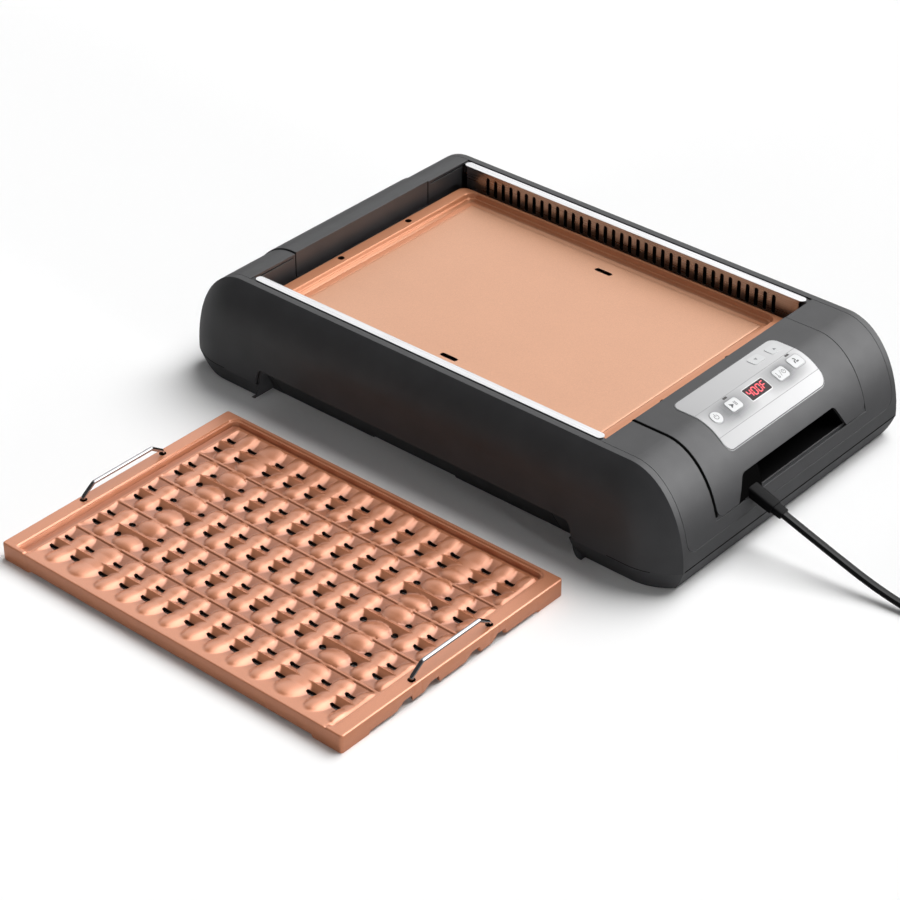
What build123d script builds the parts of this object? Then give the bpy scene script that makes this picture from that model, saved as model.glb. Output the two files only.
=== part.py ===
"""A smokeless indoor grill with its griddle plate fitted and its grill plate on the table in front.

Millimetres, +Z up. The origin is under the middle of the set, at table level. The body faces
the front (-Y) with its controls at the right (+X). Body pieces are placed from the centre of
the cooking well, through the planes that level(), across() and along() give.
"""
from build123d import *
import math
import os

os.makedirs("parts", exist_ok=True)

# The two cooking plates, of one outer size
plate_length = 370.0
plate_width = 257.0
plate_height = 16.3
plate_corner = 15.0
cast_wall = 3.0
cast_edge = 1.2
side_rim = 12.0
long_rim = 3.6
pan_corner = 9.0
pan_taper = 2.5
griddle_step = 4.0
griddle_depth = 7.4
griddle_groove = 8.0
groove_depth = 0.9
drain_length = 18.0
drain_width = 5.0
drain_shift = 4.0
drain_in = 29.5
drain_skew = 10.0
lift_hole = 6.5
lift_hole_inset = 5.6
lift_hole_y = 45.0
notch_near_y = 24.0
notch_far_y = 54.7
notch_half = 4.8
notch_ramp = 8.0
notch_height = 7.5
foot_run = 30.0
foot_rise = 2.4

# The grill plate's embossed and pierced pattern
pattern_side = 12.5
band_count = 5
even_columns = 5
slot_row_offset = 8.1
slot_length = 8.0
slot_width = 3.5
dot_size = 5.0
pattern_end = 19.45
wide_pitch = 32.3
pattern_depth = 3.0
pattern_margin = 13.0
channel_depth = 4.5
leaf_end_gap = 1.8
leaf_side_gap = 7.0
leaf_height = 2.9
ridge_width = 1.2
ridge_height = 1.5
centre_ridge_height = 1.1

# The body's loaf shape: a flat top, two rounded ends and two bulging sides
housing_top = 104.0
seam_z = 20.0
right_shoulder = 33.5
left_shoulder = 5.0
end_round = 56.0
strip_to_crease = 8.0
side_bulge = 20.0
side_inset = 42.0
shell_wall = 2.5
rim_width = 6.0
end_band_top = 34.3
end_band_hook = 11.0
seam_gap = 0.3
base_bottom = 1.5
base_draft = 8.0
base_waist_z = 9.0
base_floor = 2.5

# The well that the plate sits in
well_end_gap = 8.5
well_side_gap = 7.0
well_floor_z = 68.9
beam_set_back = 3.5
beam_height = 8.8
strip_seat = 1.2
well_wall = 2.5

# The arches in the long sides
arch_centre = 10.0
arch_top = 36.0
arch_inset = 17.0
arch_spread = 17.0
arch_curl = 11.0
arch_lip = 2.5
arch_set_in = 3.0
arch_top_in = 5.5
arch_foot_in = 25.5
arch_foot_z = 2.0

# The set's layout
set_gap = 41.4
rest_shift = 26.4

# The control pod and the handle on the other end
pod_half = 104.25
pod_gap = 1.5
pod_proud = 0.8
pod_foot = 47.5
pod_corner = 8.0
pod_seat_drop = 3.3
pod_seat_run = 19.0
pod_seat_rail = 6.0
pod_ledge = 10.0
handle_half = 87.5
handle_proud = 1.0
handle_gap = 1.4
handle_apron = 22.0
recess_top = 68.0
recess_top_half = 64.5
recess_foot_half = 76.0
recess_depth = 35.0
recess_corner = 6.0
liner_wall = 2.0

# The control panel
overlay_from_well = 14.0
overlay_long = 55.0
overlay_half = 66.0
overlay_corner = 8.0
overlay_sheet = 0.45
overlay_glue = 0.05
key_gap = 0.3
key_proud = 0.6
key_depth = 3.6
key_long = 15.0
key_short = 10.8
key_corner = 2.5
key_travel = 0.5
power_out = 32.9
power_y = -57.0
power_size = 11.0
start_out = 32.2
start_y = -32.7
mode_out = 33.3
mode_y = 31.2
speed_out = 31.8
speed_y = 54.3
down_out = 7.9
down_y = 32.0
up_out = 9.2
up_y = 54.9
lamp_out = 22.9
lamp_y = -32.4
lamp_far_y = 54.3
lamp_long = 5.0
lamp_short = 2.0
display_out = 32.5
display_y = -1.0
display_long = 26.6
display_short = 11.2
display_glass = 0.5
display_module_depth = 4.5
board_thick = 1.6
board_out = 18.0
board_long = 138.0
board_short = 37.0
board_drop = 10.0
board_post = 5.0
board_post_y = 65.5
board_post_pitch = 26.0
switch_size = 6.0
switch_gap = 0.2

# The vent panels along the well's long sides
strip_end_gap = 3.0
strip_width = 8.0
strip_thick = 1.0
sheet = 1.0
vent_margin = 46.0
vent_pitch = 9.2
vent_width = 4.0
vent_top = 100.0
vent_foot = 82.0
vent_corner = 8.0
vent_tab_in = 10.5
vent_tab_width = 7.0
vent_tab_height = 9.0
vent_tab_slit = 1.0

# The heat shield under the plate
shield_flange_end = 2.0
shield_end_in = 7.0
shield_side_in = 6.5
shield_end_draw = 28.0
shield_side_draw = 6.0
shield_foot_z = 38.0
seat_pad = 0.9
seat_pad_size = 9.0
plate_gap = 0.3

# The heating element
element_size = 6.5
element_lift = 0.3
element_near_y = 24.0
element_side_in = 33.5
element_exit_y = 54.7
element_turn_in = 30.0
element_return_in = 47.0
element_step_in = 17.0
element_end_out = 9.5
element_turn_radius = 34.0
element_step_radius = 14.0
bracket_width = 12.0
bracket_thick = 1.4
bracket_pitch = 130.0
terminal_out = 5.5
terminal_depth = 17.0
terminal_half = 64.0
terminal_height = 13.0
terminal_foot = 66.0
sensor_in = 4.0
sensor_size = 9.0
sensor_cap = 4.0
sensor_stem = 3.0

# The drip tray and its bay
tray_side_gap = 13.5
tray_back_in = 3.5
tray_floor = 5.0
tray_top = 33.0
tray_wall = 1.5
tray_face_over = 1.5
tray_face_thick = 2.5
tray_face_foot = 2.0
tray_pull_left = -50.0
tray_pull_right = 43.0
tray_pull_rise = 4.0
bay_gap = 0.6
bay_wall = 2.0
bay_wall_gap = 2.5
bay_top = 30.0
bay_back_gap = 3.0

# Feet, posts and screws under the body
foot_size = 16.0
foot_stud = 6.0
foot_out = 13.5
foot_in = 33.5
post_end_in = 5.0
post_side_in = 23.5
post_size = 10.0
screw_head = 6.5
screw_head_height = 2.2
screw_shank = 3.4
screw_length = 14.0
screw_fit = 0.15

# The smoke fan at the control end
fan_out = 9.0
fan_radius = 28.0
fan_height = 18.0
fan_blades = 24
fan_blade_thick = 1.0
fan_blade_depth = 8.0
fan_hub = 9.0
fan_plate = 1.5
fan_shaft = 3.0
fan_clear = 3.0
scroll_radius = 31.0
scroll_growth = 2.2
scroll_height = 25.0
scroll_wall = 1.8
motor_size = 36.0
motor_height = 13.0
motor_boss = 12.0
inlet_radius = 21.0
shaft_gap = 0.4
louvre_count = 7
louvre_pitch = 6.0
louvre_width = 3.0
louvre_length = 34.0

# The power board
power_board_out = 8.0
power_board_in = 49.5
power_board_long = 58.0
power_board_wide = 50.0
standoff_height = 6.0
standoff_size = 6.0
relay_long = 19.0
relay_wide = 15.5
relay_height = 15.0
capacitor_size = 10.0
capacitor_height = 20.0
coil_block = 12.0

# The mains cord
cord_size = 7.5
cord_y = -55.0
cord_mouth_out = 37.6
cord_mouth_z = 53.8
cord_fall = 0.32
relief_start_out = 20.0
relief_reach = 63.0
relief_width = 12.0
relief_thick = 8.0
relief_ring = 1.4
relief_rings = 5
cord_notch = 15.0
cord_notch_depth = 7.0
coil_radius = 45.0
coil_gap = 0.6
coil_out = 191.0
cord_first_run = 47.0
cord_bend_out = 94.0
cord_bend_y = -54.4
cord_bend_z = 9.4
cord_land_out = 139.0
layer_quarters = 5
tail_length = 60.0
plug_length = 34.0
plug_width = 24.0
plug_thick = 15.0
plug_nose = 15.0
plug_corner = 3.0
blade_pitch = 12.7
blade_width = 6.35
blade_thick = 1.5
blade_length = 17.0

# The wire lifting handles of the grill plate
wire_size = 3.5
wire_rise = 10.8
wire_half = 33.0
wire_bend = 4.5
wire_knee = 3.0
wire_hook = 6.0
wire_hook_bend = 2.4
wire_hook_gap = 0.35
wire_neck = 2.5

# How far cutting forms run past what they cut, and the arc that a cord's corner allows
overrun = 5.0
bend_share = 0.45
coil_check_steps = 600
coil_check_share = 2.5

# Sizes that follow from those above
plate_end = plate_length / 2
plate_side = plate_width / 2
well_half = plate_end + well_end_gap
strip_inner = plate_side + well_side_gap
strip_half = well_half - strip_end_gap
beam_inner = strip_inner + beam_set_back
crease_half = strip_inner + strip_width + strip_to_crease
right_flat = well_half + right_shoulder
left_flat = well_half + left_shoulder
end_height = housing_top - seam_z
side_radius = (side_inset**2 + side_bulge**2) / (2 * side_bulge)
side_centre_y = crease_half + side_bulge - side_radius
body_half = crease_half + side_bulge
right_reach = right_flat + end_round
left_reach = left_flat + end_round
set_depth = 2 * body_half + set_gap + plate_width
well_x = left_reach - (left_reach + right_reach) / 2
well_y = set_depth / 2 - body_half
rest_x = well_x + rest_shift
rest_y = plate_side - set_depth / 2
griddle_z = well_floor_z + seat_pad + plate_gap
deck_half = crease_half - rim_width - seam_gap
arch_top_half = plate_end - arch_inset
arch_back_top = body_half - arch_top_in
arch_back_foot = body_half - arch_foot_in
arch_slope = (arch_back_top - arch_back_foot) / (arch_top - arch_foot_z)
base_floor_z = base_bottom + base_floor
plate_channel = side_rim - 2 * cast_wall
drain_y = plate_side - drain_in
band_pitch = (plate_width - 2 * pattern_side) / band_count
leaf_length = band_pitch - leaf_end_gap
column_pitch = (plate_end - side_rim - pattern_end - wide_pitch) / even_columns
pod_seat_end = right_flat + pod_seat_run
overlay_left = well_half + overlay_from_well
overlay_right = overlay_left + overlay_long
power_x = overlay_left + power_out
start_x = overlay_left + start_out
mode_x = overlay_left + mode_out
speed_x = overlay_left + speed_out
down_x = overlay_left + down_out
up_x = overlay_left + up_out
lamp_x = overlay_left + lamp_out
display_x = overlay_left + display_out
board_x = overlay_left + board_out
vent_count = int((2 * strip_half - vent_margin) / vent_pitch)
vent_tab_x = strip_half - vent_tab_in
shield_flange_x = well_half + shield_flange_end
shield_flange_y = strip_inner + sheet
shield_top_x = plate_end - shield_end_in
shield_top_y = plate_side - shield_side_in
shield_foot_x = shield_top_x - shield_end_draw
shield_foot_y = shield_top_y - shield_side_draw
element_far_y = plate_side - element_side_in
element_turn_x = element_turn_in - plate_end
element_return_x = plate_end - element_return_in
element_step_x = plate_end - element_step_in
element_end_x = well_half + element_end_out
terminal_x = well_half + terminal_out
sensor_x = shield_top_x - sensor_in
tray_half = arch_top_half - tray_side_gap
tray_back = plate_side - tray_back_in
tray_face_half = tray_half + tray_face_over
foot_x = left_flat + foot_out
foot_y = crease_half - foot_in
post_x = well_half - post_end_in
post_y = crease_half - post_side_in
fan_x = right_flat + fan_out
power_board_x = right_flat + power_board_out
power_board_y = crease_half - power_board_in
cord_mouth_x = right_flat + cord_mouth_out
relief_start_x = right_flat + relief_start_out
relief_end_x = relief_start_x + relief_reach
coil_x = relief_end_x + coil_out


def level(z):
    """The horizontal plane at height z, centred on the well."""
    return Plane(origin=(well_x, well_y, z))


def across(y):
    """The upright plane that faces the front, y behind the well's centre."""
    return Plane(origin=(well_x, well_y + y, 0), x_dir=(1, 0, 0), z_dir=(0, -1, 0))


def along(x):
    """The upright plane that faces the right, x beyond the well's centre."""
    return Plane(origin=(well_x + x, well_y, 0), x_dir=(0, 1, 0), z_dir=(1, 0, 0))


def loaf(inset):
    """The housing's long section, from the seam up, drawn in by inset all round."""
    wide = end_round - inset
    high = end_height - inset
    with BuildSketch() as section:
        with BuildLine():
            right = EllipticalCenterArc((right_flat, seam_z), wide, high, 0, arc_size=90)
            left = EllipticalCenterArc((-left_flat, seam_z), wide, high, 90, arc_size=90)
            Line(right @ 1, left @ 0)
            Line(left @ 1, right @ 0)
        make_face()
    return section.sketch


def surface(x, y, lift):
    """The plane on the pod's surface above (x, y), lifted outward; its x runs to the rear."""
    wide = end_round + pod_proud
    high = end_height + pod_proud
    over = max(x - right_flat, 0) / wide
    z = seam_z + high * math.sqrt(1 - over**2)
    normal = Vector(over / wide, 0, math.sqrt(1 - over**2) / high).normalized()
    foot = Vector(well_x + x, well_y + y, z) + normal * lift
    return Plane(origin=foot, x_dir=(0, 1, 0), z_dir=normal)


side_inset_shares = (0, 0.14, 0.34, 0.62, 1)


def hull(inset):
    """The closed form of the housing above the seam: the loaf and its two bulging sides."""
    with BuildPart() as form:
        with BuildSketch(across(0)):
            add(loaf(inset))
        extrude(amount=crease_half - inset, both=True)
    for hand in (-1, 1):
        with BuildPart() as side:
            for share in side_inset_shares:
                step = side_inset * share
                out = side_centre_y + math.sqrt(side_radius**2 - (side_inset - step) ** 2)
                with BuildSketch(across(hand * (out - inset))):
                    add(loaf(step + inset))
            loft()
        with BuildPart(mode=Mode.PRIVATE) as joined:
            add(form.part)
            add(side.part)
        form = joined
    return form.part


def plan(inset):
    """The housing's outline seen from above at the seam, drawn in by inset."""
    radius = side_radius - inset
    run = side_inset - inset
    rise = math.sqrt(radius**2 - run**2)
    swing = math.degrees(math.atan2(rise, run))
    right = right_reach - side_inset
    left = side_inset - left_reach
    with BuildSketch() as outline:
        with BuildLine():
            rear_right = CenterArc((right, side_centre_y), radius, swing, 90 - swing)
            rear_left = CenterArc((left, side_centre_y), radius, 90, 90 - swing)
            front_left = CenterArc((left, -side_centre_y), radius, 180 + swing, 90 - swing)
            front_right = CenterArc((right, -side_centre_y), radius, 270, 90 - swing)
            Line(rear_right @ 1, rear_left @ 0)
            Line(rear_left @ 1, front_left @ 0)
            Line(front_left @ 1, front_right @ 0)
            Line(front_right @ 1, rear_right @ 0)
        make_face()
    return outline.sketch


def arch(grow):
    """The arch's outline from the front, grown by grow, open at the table."""
    top = arch_top + grow
    half = arch_top_half + grow
    foot_half = half + arch_spread
    with BuildSketch() as outline:
        with BuildLine():
            right = Bezier(
                (arch_centre + half, top),
                (arch_centre + half + arch_curl, top),
                (arch_centre + foot_half - arch_curl, base_bottom),
                (arch_centre + foot_half, base_bottom),
            )
            left = Bezier(
                (arch_centre - foot_half, base_bottom),
                (arch_centre - foot_half + arch_curl, base_bottom),
                (arch_centre - half - arch_curl, top),
                (arch_centre - half, top),
            )
            Line(left @ 1, right @ 0)
            Polyline(
                right @ 1,
                (arch_centre + foot_half, -overrun),
                (arch_centre - foot_half, -overrun),
                left @ 0,
            )
        make_face()
    return outline.sketch


def arch_wedge(grow, depth, face, floor):
    """The space in the front arch above floor, from its sloping back out to the distance face."""
    back_foot = -arch_back_foot + depth + (arch_foot_z - floor) * arch_slope
    back_top = -arch_back_top + depth - overrun * arch_slope
    with BuildPart() as wedge:
        with BuildSketch(across(-face)):
            add(arch(grow))
        extrude(amount=-face / 2)
        with BuildSketch(along(arch_centre)):
            with BuildLine():
                Polyline(
                    (back_foot, floor),
                    (back_top, arch_top + overrun),
                    (-face - overrun, arch_top + overrun),
                    (-face - overrun, floor),
                    close=True,
                )
            make_face()
        extrude(amount=right_reach, both=True, mode=Mode.INTERSECT)
    return wedge.part


def end_window(half, foot, corner):
    """A window in the end view, from height foot up, with two round lower corners."""
    top = housing_top + overrun
    with BuildSketch() as window:
        with BuildLine():
            Polyline((-half, foot + corner), (-half, top), (half, top), (half, foot + corner))
            RadiusArc((half, foot + corner), (half - corner, foot), corner)
            Line((half - corner, foot), (corner - half, foot))
            RadiusArc((corner - half, foot), (-half, foot + corner), corner)
        make_face()
    return window.sketch


def hand_recess(grow, start):
    """The finger space in an end, from x = start outward, as seen from the end."""
    low = pod_foot - grow
    high = recess_top + grow
    with BuildPart() as hollow:
        with BuildSketch(along(start)):
            with BuildLine():
                Polyline(
                    (-recess_foot_half - grow, low),
                    (-recess_top_half - grow, high),
                    (recess_top_half + grow, high),
                    (recess_foot_half + grow, low),
                    close=True,
                )
            shape = make_face()
            fillet(shape.vertices().group_by(Axis.Y)[-1], radius=recess_corner)
        extrude(amount=right_reach + overrun - start)
    return hollow.part


# Side housing: the one-piece frame with both bulging sides and the band round the ends
with BuildPart() as side_housing:
    add(hull(0))
    add(hull(shell_wall), mode=Mode.SUBTRACT)
    with BuildSketch(along(0)):
        add(end_window(deck_half + seam_gap, end_band_top - seam_gap, end_band_hook))
    extrude(amount=right_reach + overrun, both=True, mode=Mode.SUBTRACT)
    for hand in (-1, 1):
        with BuildSketch(across(hand * crease_half)):
            add(arch(0))
        extrude(amount=-hand * (side_bulge + overrun), mode=Mode.SUBTRACT)
side_housing.part.label = "side_housing"
export_step(side_housing.part, "parts/side_housing.step")

# Base housing: the lower pan with its arches, tray bay, posts and louvres
front_block = arch_wedge(-seam_gap, shell_wall, body_half - arch_set_in, base_bottom)
front_air = arch_wedge(-arch_lip, 0, body_half + overrun, -overrun)
with BuildPart() as base_hollow:
    for z, draw in ((base_floor_z, base_draft), (base_waist_z, base_draft / 2), (seam_z, 0)):
        with BuildSketch(level(z)):
            add(plan(draw + seam_gap + shell_wall))
    loft()
with BuildPart() as base_housing:
    for z, draw in ((base_bottom, base_draft), (base_waist_z, base_draft / 2), (seam_z, 0)):
        with BuildSketch(level(z)):
            add(plan(draw + seam_gap))
    loft()
    add(base_hollow.part, mode=Mode.SUBTRACT)
    add(front_block)
    add(mirror(front_block, about=across(0), mode=Mode.PRIVATE))
    add(front_air, mode=Mode.SUBTRACT)
    add(mirror(front_air, about=across(0), mode=Mode.PRIVATE), mode=Mode.SUBTRACT)
    # the tray's way out through the front
    way_half = tray_face_half + bay_gap
    way_back = -arch_back_foot + tray_face_thick + bay_gap
    with BuildSketch(along(0)):
        with BuildLine():
            Polyline(
                (way_back, -overrun),
                (way_back, tray_top + bay_gap / 2),
                (-body_half - overrun, tray_top + bay_gap / 2),
                (-body_half - overrun, -overrun),
                close=True,
            )
        make_face()
    extrude(amount=way_half, both=True, mode=Mode.SUBTRACT)
    # the walls of the tray's bay
    bay_side = tray_half + bay_wall_gap
    bay_rear = tray_back + bay_back_gap
    bay_front = way_back + overrun
    with BuildSketch(level(base_floor_z)):
        for hand in (-1, 1):
            with Locations((hand * (bay_side + bay_wall / 2), (bay_front + bay_rear) / 2)):
                Rectangle(bay_wall, bay_rear - bay_front)
        with Locations((0, bay_rear + bay_wall / 2)):
            Rectangle(2 * (bay_side + bay_wall), bay_wall)
    extrude(amount=bay_top - base_floor_z)
    # two runners that the tray slides on
    with BuildSketch(level(base_floor_z)):
        with GridLocations(tray_half + bay_side, 0, 2, 1):
            with Locations((0, (bay_front + bay_rear) / 2)):
                Rectangle(bay_wall, bay_rear - bay_front)
    extrude(amount=tray_floor - seam_gap - base_floor_z)
    # four posts carry the heat shield and take the screws
    with BuildSketch(level(base_floor_z)):
        with GridLocations(2 * post_x, 2 * post_y, 2, 2):
            Circle(post_size / 2)
    extrude(amount=well_floor_z - sheet - base_floor_z)
    with BuildSketch(level(base_bottom)):
        with GridLocations(2 * post_x, 2 * post_y, 2, 2):
            Circle(screw_head / 2 + screw_fit)
    extrude(amount=base_floor, mode=Mode.SUBTRACT)
    with BuildSketch(level(base_bottom)):
        with GridLocations(2 * post_x, 2 * post_y, 2, 2):
            Circle(screw_shank / 2)
    extrude(amount=base_floor + screw_length, mode=Mode.SUBTRACT)
    # sockets for the feet
    with BuildSketch(level(base_bottom)):
        with GridLocations(2 * foot_x, 2 * foot_y, 2, 2):
            Circle(foot_stud / 2)
    extrude(amount=base_floor, mode=Mode.SUBTRACT)
    # standoffs for the power board
    with BuildSketch(level(base_floor_z)):
        with Locations((power_board_x, power_board_y)):
            with GridLocations(power_board_long - standoff_size, power_board_wide - standoff_size, 2, 2):
                Circle(standoff_size / 2)
    extrude(amount=standoff_height)
    # louvres under the fan's mouth and its inlet
    with BuildSketch(level(base_bottom)):
        with Locations((fan_x, 0)):
            with GridLocations(louvre_pitch, 0, louvre_count, 1):
                SlotOverall(louvre_length, louvre_width, rotation=90)
    extrude(amount=base_floor, mode=Mode.SUBTRACT)
base_housing.part.label = "base_housing"
export_step(base_housing.part, "parts/base_housing.step")

# Rubber feet: four discs whose studs push into the base
with BuildPart() as rubber_feet:
    with BuildSketch(level(0)):
        with GridLocations(2 * foot_x, 2 * foot_y, 2, 2):
            Circle(foot_size / 2)
    extrude(amount=base_bottom)
    with BuildSketch(level(base_bottom)):
        with GridLocations(2 * foot_x, 2 * foot_y, 2, 2):
            Circle(foot_stud / 2)
    extrude(amount=base_floor + base_bottom)
rubber_feet.part.label = "rubber_feet"
export_step(rubber_feet.part, "parts/rubber_feet.step")

# Base screws: pan heads sunk in the floor, shanks up into the posts
with BuildPart() as base_screws:
    with BuildSketch(level(base_floor_z - screw_head_height)):
        with GridLocations(2 * post_x, 2 * post_y, 2, 2):
            Circle(screw_head / 2)
    extrude(amount=screw_head_height)
    with BuildSketch(level(base_floor_z)):
        with GridLocations(2 * post_x, 2 * post_y, 2, 2):
            Circle(screw_shank / 2)
    extrude(amount=screw_length - screw_fit)
base_screws.part.label = "base_screws"
export_step(base_screws.part, "parts/base_screws.step")


def loaf_band(outer, inner, half, clip_left, clip_right, clip_foot):
    """A curved slab that follows the loaf between two insets, cut off at x and z limits."""
    with BuildPart() as band:
        with BuildSketch(across(0)):
            add(loaf(outer))
            add(loaf(inner), mode=Mode.SUBTRACT)
            with Locations(((clip_left + clip_right) / 2, (clip_foot + housing_top + overrun) / 2)):
                Rectangle(
                    clip_right - clip_left,
                    housing_top + overrun - clip_foot,
                    mode=Mode.INTERSECT,
                )
        extrude(amount=half, both=True)
    return band.part


# Top housing: the deck, the left bar, the rails beside the well and the well's end walls
far_right = right_reach + overrun
far_left = -left_reach - overrun
with BuildPart() as deck_window:
    with BuildSketch(along(0)):
        add(end_window(deck_half, end_band_top, end_band_hook))
    extrude(amount=right_reach + overrun, both=True)
with BuildPart() as top_housing:
    with BuildSketch(across(0)):
        add(loaf(0))
        add(loaf(shell_wall), mode=Mode.SUBTRACT)
    extrude(amount=deck_half, both=True)
    # ledges that the pod and the handle cover sit on
    add(loaf_band(0, pod_seat_drop + shell_wall, pod_half + pod_gap + shell_wall,
                  well_half, pod_seat_end, recess_top + liner_wall + shell_wall))
    add(loaf_band(0, pod_seat_drop + shell_wall, handle_half + handle_gap + shell_wall,
                  right_flat - left_flat - pod_seat_end, -well_half, recess_top + liner_wall + shell_wall))
    # the well's opening and the seats of its steel strips
    with BuildSketch(level(end_band_top)):
        Rectangle(2 * well_half, 2 * beam_inner)
    extrude(amount=housing_top, mode=Mode.SUBTRACT)
    with BuildSketch(level(housing_top - strip_seat)):
        Rectangle(2 * well_half, 2 * deck_half)
    extrude(amount=overrun, mode=Mode.SUBTRACT)
    # the rails under the strips
    with BuildSketch(level(housing_top - strip_seat)):
        for hand in (-1, 1):
            with Locations((0, hand * (beam_inner + deck_half) / 2)):
                Rectangle(2 * (well_half + well_wall), deck_half - beam_inner)
    extrude(amount=-beam_height)
    # the end walls of the well
    with BuildSketch(level(well_floor_z)):
        for hand in (-1, 1):
            with Locations((hand * (well_half + well_wall), 0)):
                Rectangle(2 * well_wall, 2 * deck_half)
    extrude(amount=housing_top - strip_seat - shell_wall - well_floor_z)
    # the channels that take the pod and the handle cover
    channel_foot = pod_foot - pod_gap
    pod_room = pod_half + pod_gap
    handle_room = handle_half + handle_gap
    add(
        loaf_band(-overrun, pod_seat_drop, pod_room, well_half - overrun, far_right, channel_foot),
        mode=Mode.SUBTRACT,
    )
    add(
        loaf_band(-overrun, pod_seat_drop, handle_room, far_left, overrun - well_half, channel_foot),
        mode=Mode.SUBTRACT,
    )
    # room for the handle cover's inner apron, and for the control board
    apron_foot = housing_top + handle_proud - shell_wall - handle_apron
    with BuildSketch(level(apron_foot - handle_gap)):
        with Locations((-well_half, 0)):
            Rectangle(2 * (well_wall + seam_gap), 2 * (handle_half + handle_gap))
    extrude(amount=housing_top, mode=Mode.SUBTRACT)
    with BuildSketch(level(recess_top)):
        with Locations(((well_half + pod_ledge + far_right) / 2, 0)):
            Rectangle(far_right - well_half - pod_ledge, 2 * (pod_half - pod_seat_rail))
    extrude(amount=housing_top, mode=Mode.SUBTRACT)
    with BuildSketch(level(recess_top)):
        with Locations(((-well_half - pod_ledge + far_left) / 2, 0)):
            Rectangle(-far_left - well_half - pod_ledge, 2 * (handle_half - pod_seat_rail))
    extrude(amount=housing_top, mode=Mode.SUBTRACT)
    # gates for the heating element's legs
    leg_gate = element_size + 2 * seam_gap
    with BuildSketch(along(well_half - overrun)):
        for leg_y in (element_near_y, element_exit_y):
            for hand in (-1, 1):
                with Locations((hand * leg_y, well_floor_z)):
                    Rectangle(leg_gate, 2 * (element_size + element_lift + seam_gap))
    extrude(amount=2 * well_wall + 2 * overrun, mode=Mode.SUBTRACT)
    # the cord's notch in the end
    with BuildSketch(along(right_flat + end_round / 2)):
        with Locations((cord_y, pod_foot - pod_gap)):
            RectangleRounded(cord_notch, 2 * cord_notch_depth, cord_notch_depth / 2)
    extrude(amount=end_round, mode=Mode.SUBTRACT)
    add(deck_window.part, mode=Mode.INTERSECT)
top_housing.part.label = "top_housing"
export_step(top_housing.part, "parts/top_housing.step")


def recess_liner():
    """The pocket behind the finger space, kept inside the loaf."""
    start = right_reach - recess_depth
    with BuildPart() as liner:
        add(hand_recess(liner_wall, start - liner_wall))
        add(hand_recess(0, start), mode=Mode.SUBTRACT)
        with BuildSketch(across(0)):
            add(loaf(shell_wall / 3))
        extrude(amount=pod_half, both=True, mode=Mode.INTERSECT)
        # its floor ends inside the skin of the band below
        with BuildSketch(across(0)):
            with Locations((right_reach, pod_foot / 2)):
                Rectangle(2 * end_round, pod_foot)
            add(loaf(shell_wall + seam_gap), mode=Mode.SUBTRACT)
        extrude(amount=pod_half, both=True, mode=Mode.SUBTRACT)
    return liner.part


def flip(form):
    """The same form on the left end, which stands as far out from its own flat."""
    middle = (right_flat - left_flat) / 2
    return mirror(form, about=along(middle), mode=Mode.PRIVATE)


def end_cap(proud, half, inner_x):
    """A cover that wraps over the right end, hollow below, with the finger space cut through."""
    with BuildPart() as cap:
        add(loaf_band(-proud, pod_seat_drop - seam_gap / 2, half, inner_x, far_right, pod_foot))
        inner_half = half - shell_wall
        add(
            loaf_band(shell_wall - proud, recess_depth, inner_half, inner_x + shell_wall, far_right, 0),
            mode=Mode.SUBTRACT,
        )
        with BuildSketch(along(0)):
            add(end_window(half, pod_foot, pod_corner))
        extrude(amount=far_right, mode=Mode.INTERSECT)
        add(recess_liner())
        add(hand_recess(0, right_reach - recess_depth), mode=Mode.SUBTRACT)
    return cap.part


keys = {
    "start_pause_button": (start_x, start_y),
    "temp_timer_button": (mode_x, mode_y),
    "fan_button": (speed_x, speed_y),
    "down_button": (down_x, down_y),
    "up_button": (up_x, up_y),
}


def key_form(x, y, grow, low, high):
    """A rounded-square key, its lower end low under the surface and its top following it."""
    with BuildPart() as key:
        with BuildSketch(surface(x, y, -low)):
            RectangleRounded(key_long + 2 * grow, key_short + 2 * grow, key_corner + grow)
        extrude(amount=low + high + overrun)
        with BuildSketch(across(0)):
            add(loaf(-pod_proud - high))
        extrude(amount=pod_half, both=True, mode=Mode.INTERSECT)
    return key.part


def round_key(grow, low, high):
    """The round power key, made as the others are."""
    with BuildPart() as key:
        with BuildSketch(surface(power_x, power_y, -low)):
            Circle(power_size / 2 + grow)
        extrude(amount=low + high + overrun)
        with BuildSketch(across(0)):
            add(loaf(-pod_proud - high))
        extrude(amount=pod_half, both=True, mode=Mode.INTERSECT)
    return key.part


def small_window(x, y, long, short, grow, low, high):
    """A lens or display form at a place on the panel, from low under the surface to high over it."""
    with BuildPart() as form:
        with BuildSketch(surface(x, y, -low)):
            RectangleRounded(long + 2 * grow, short + 2 * grow, short / 4 + grow)
        extrude(amount=low + high + overrun)
        with BuildSketch(across(0)):
            add(loaf(-pod_proud - high))
        extrude(amount=pod_half, both=True, mode=Mode.INTERSECT)
    return form.part


# Every hole through the panel and the pod's skin beneath it
panel_top = overlay_sheet + key_proud
with BuildPart() as panel_holes:
    for x, y in keys.values():
        add(key_form(x, y, key_gap, key_depth + key_travel, panel_top + overrun))
    add(round_key(key_gap, key_depth + key_travel, panel_top + overrun))
    for y in (lamp_y, lamp_far_y):
        add(small_window(lamp_x, y, lamp_long, lamp_short, key_gap / 2, key_depth, panel_top + overrun))
    add(small_window(display_x, display_y, display_long, display_short, key_gap / 2, key_depth,
                     panel_top + overrun))

# Where the mains cord's sleeve leaves the back of the finger space, and its slanting axis
relief_z = cord_mouth_z + cord_fall * (cord_mouth_x - relief_start_x)
relief_run = relief_end_x - relief_start_x
relief_length = math.hypot(relief_run, relief_run * cord_fall)
relief_plane = Plane(
    origin=(well_x + relief_start_x, well_y + cord_y, relief_z),
    x_dir=(0, 1, 0),
    z_dir=(1, 0, -cord_fall),
)

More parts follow.
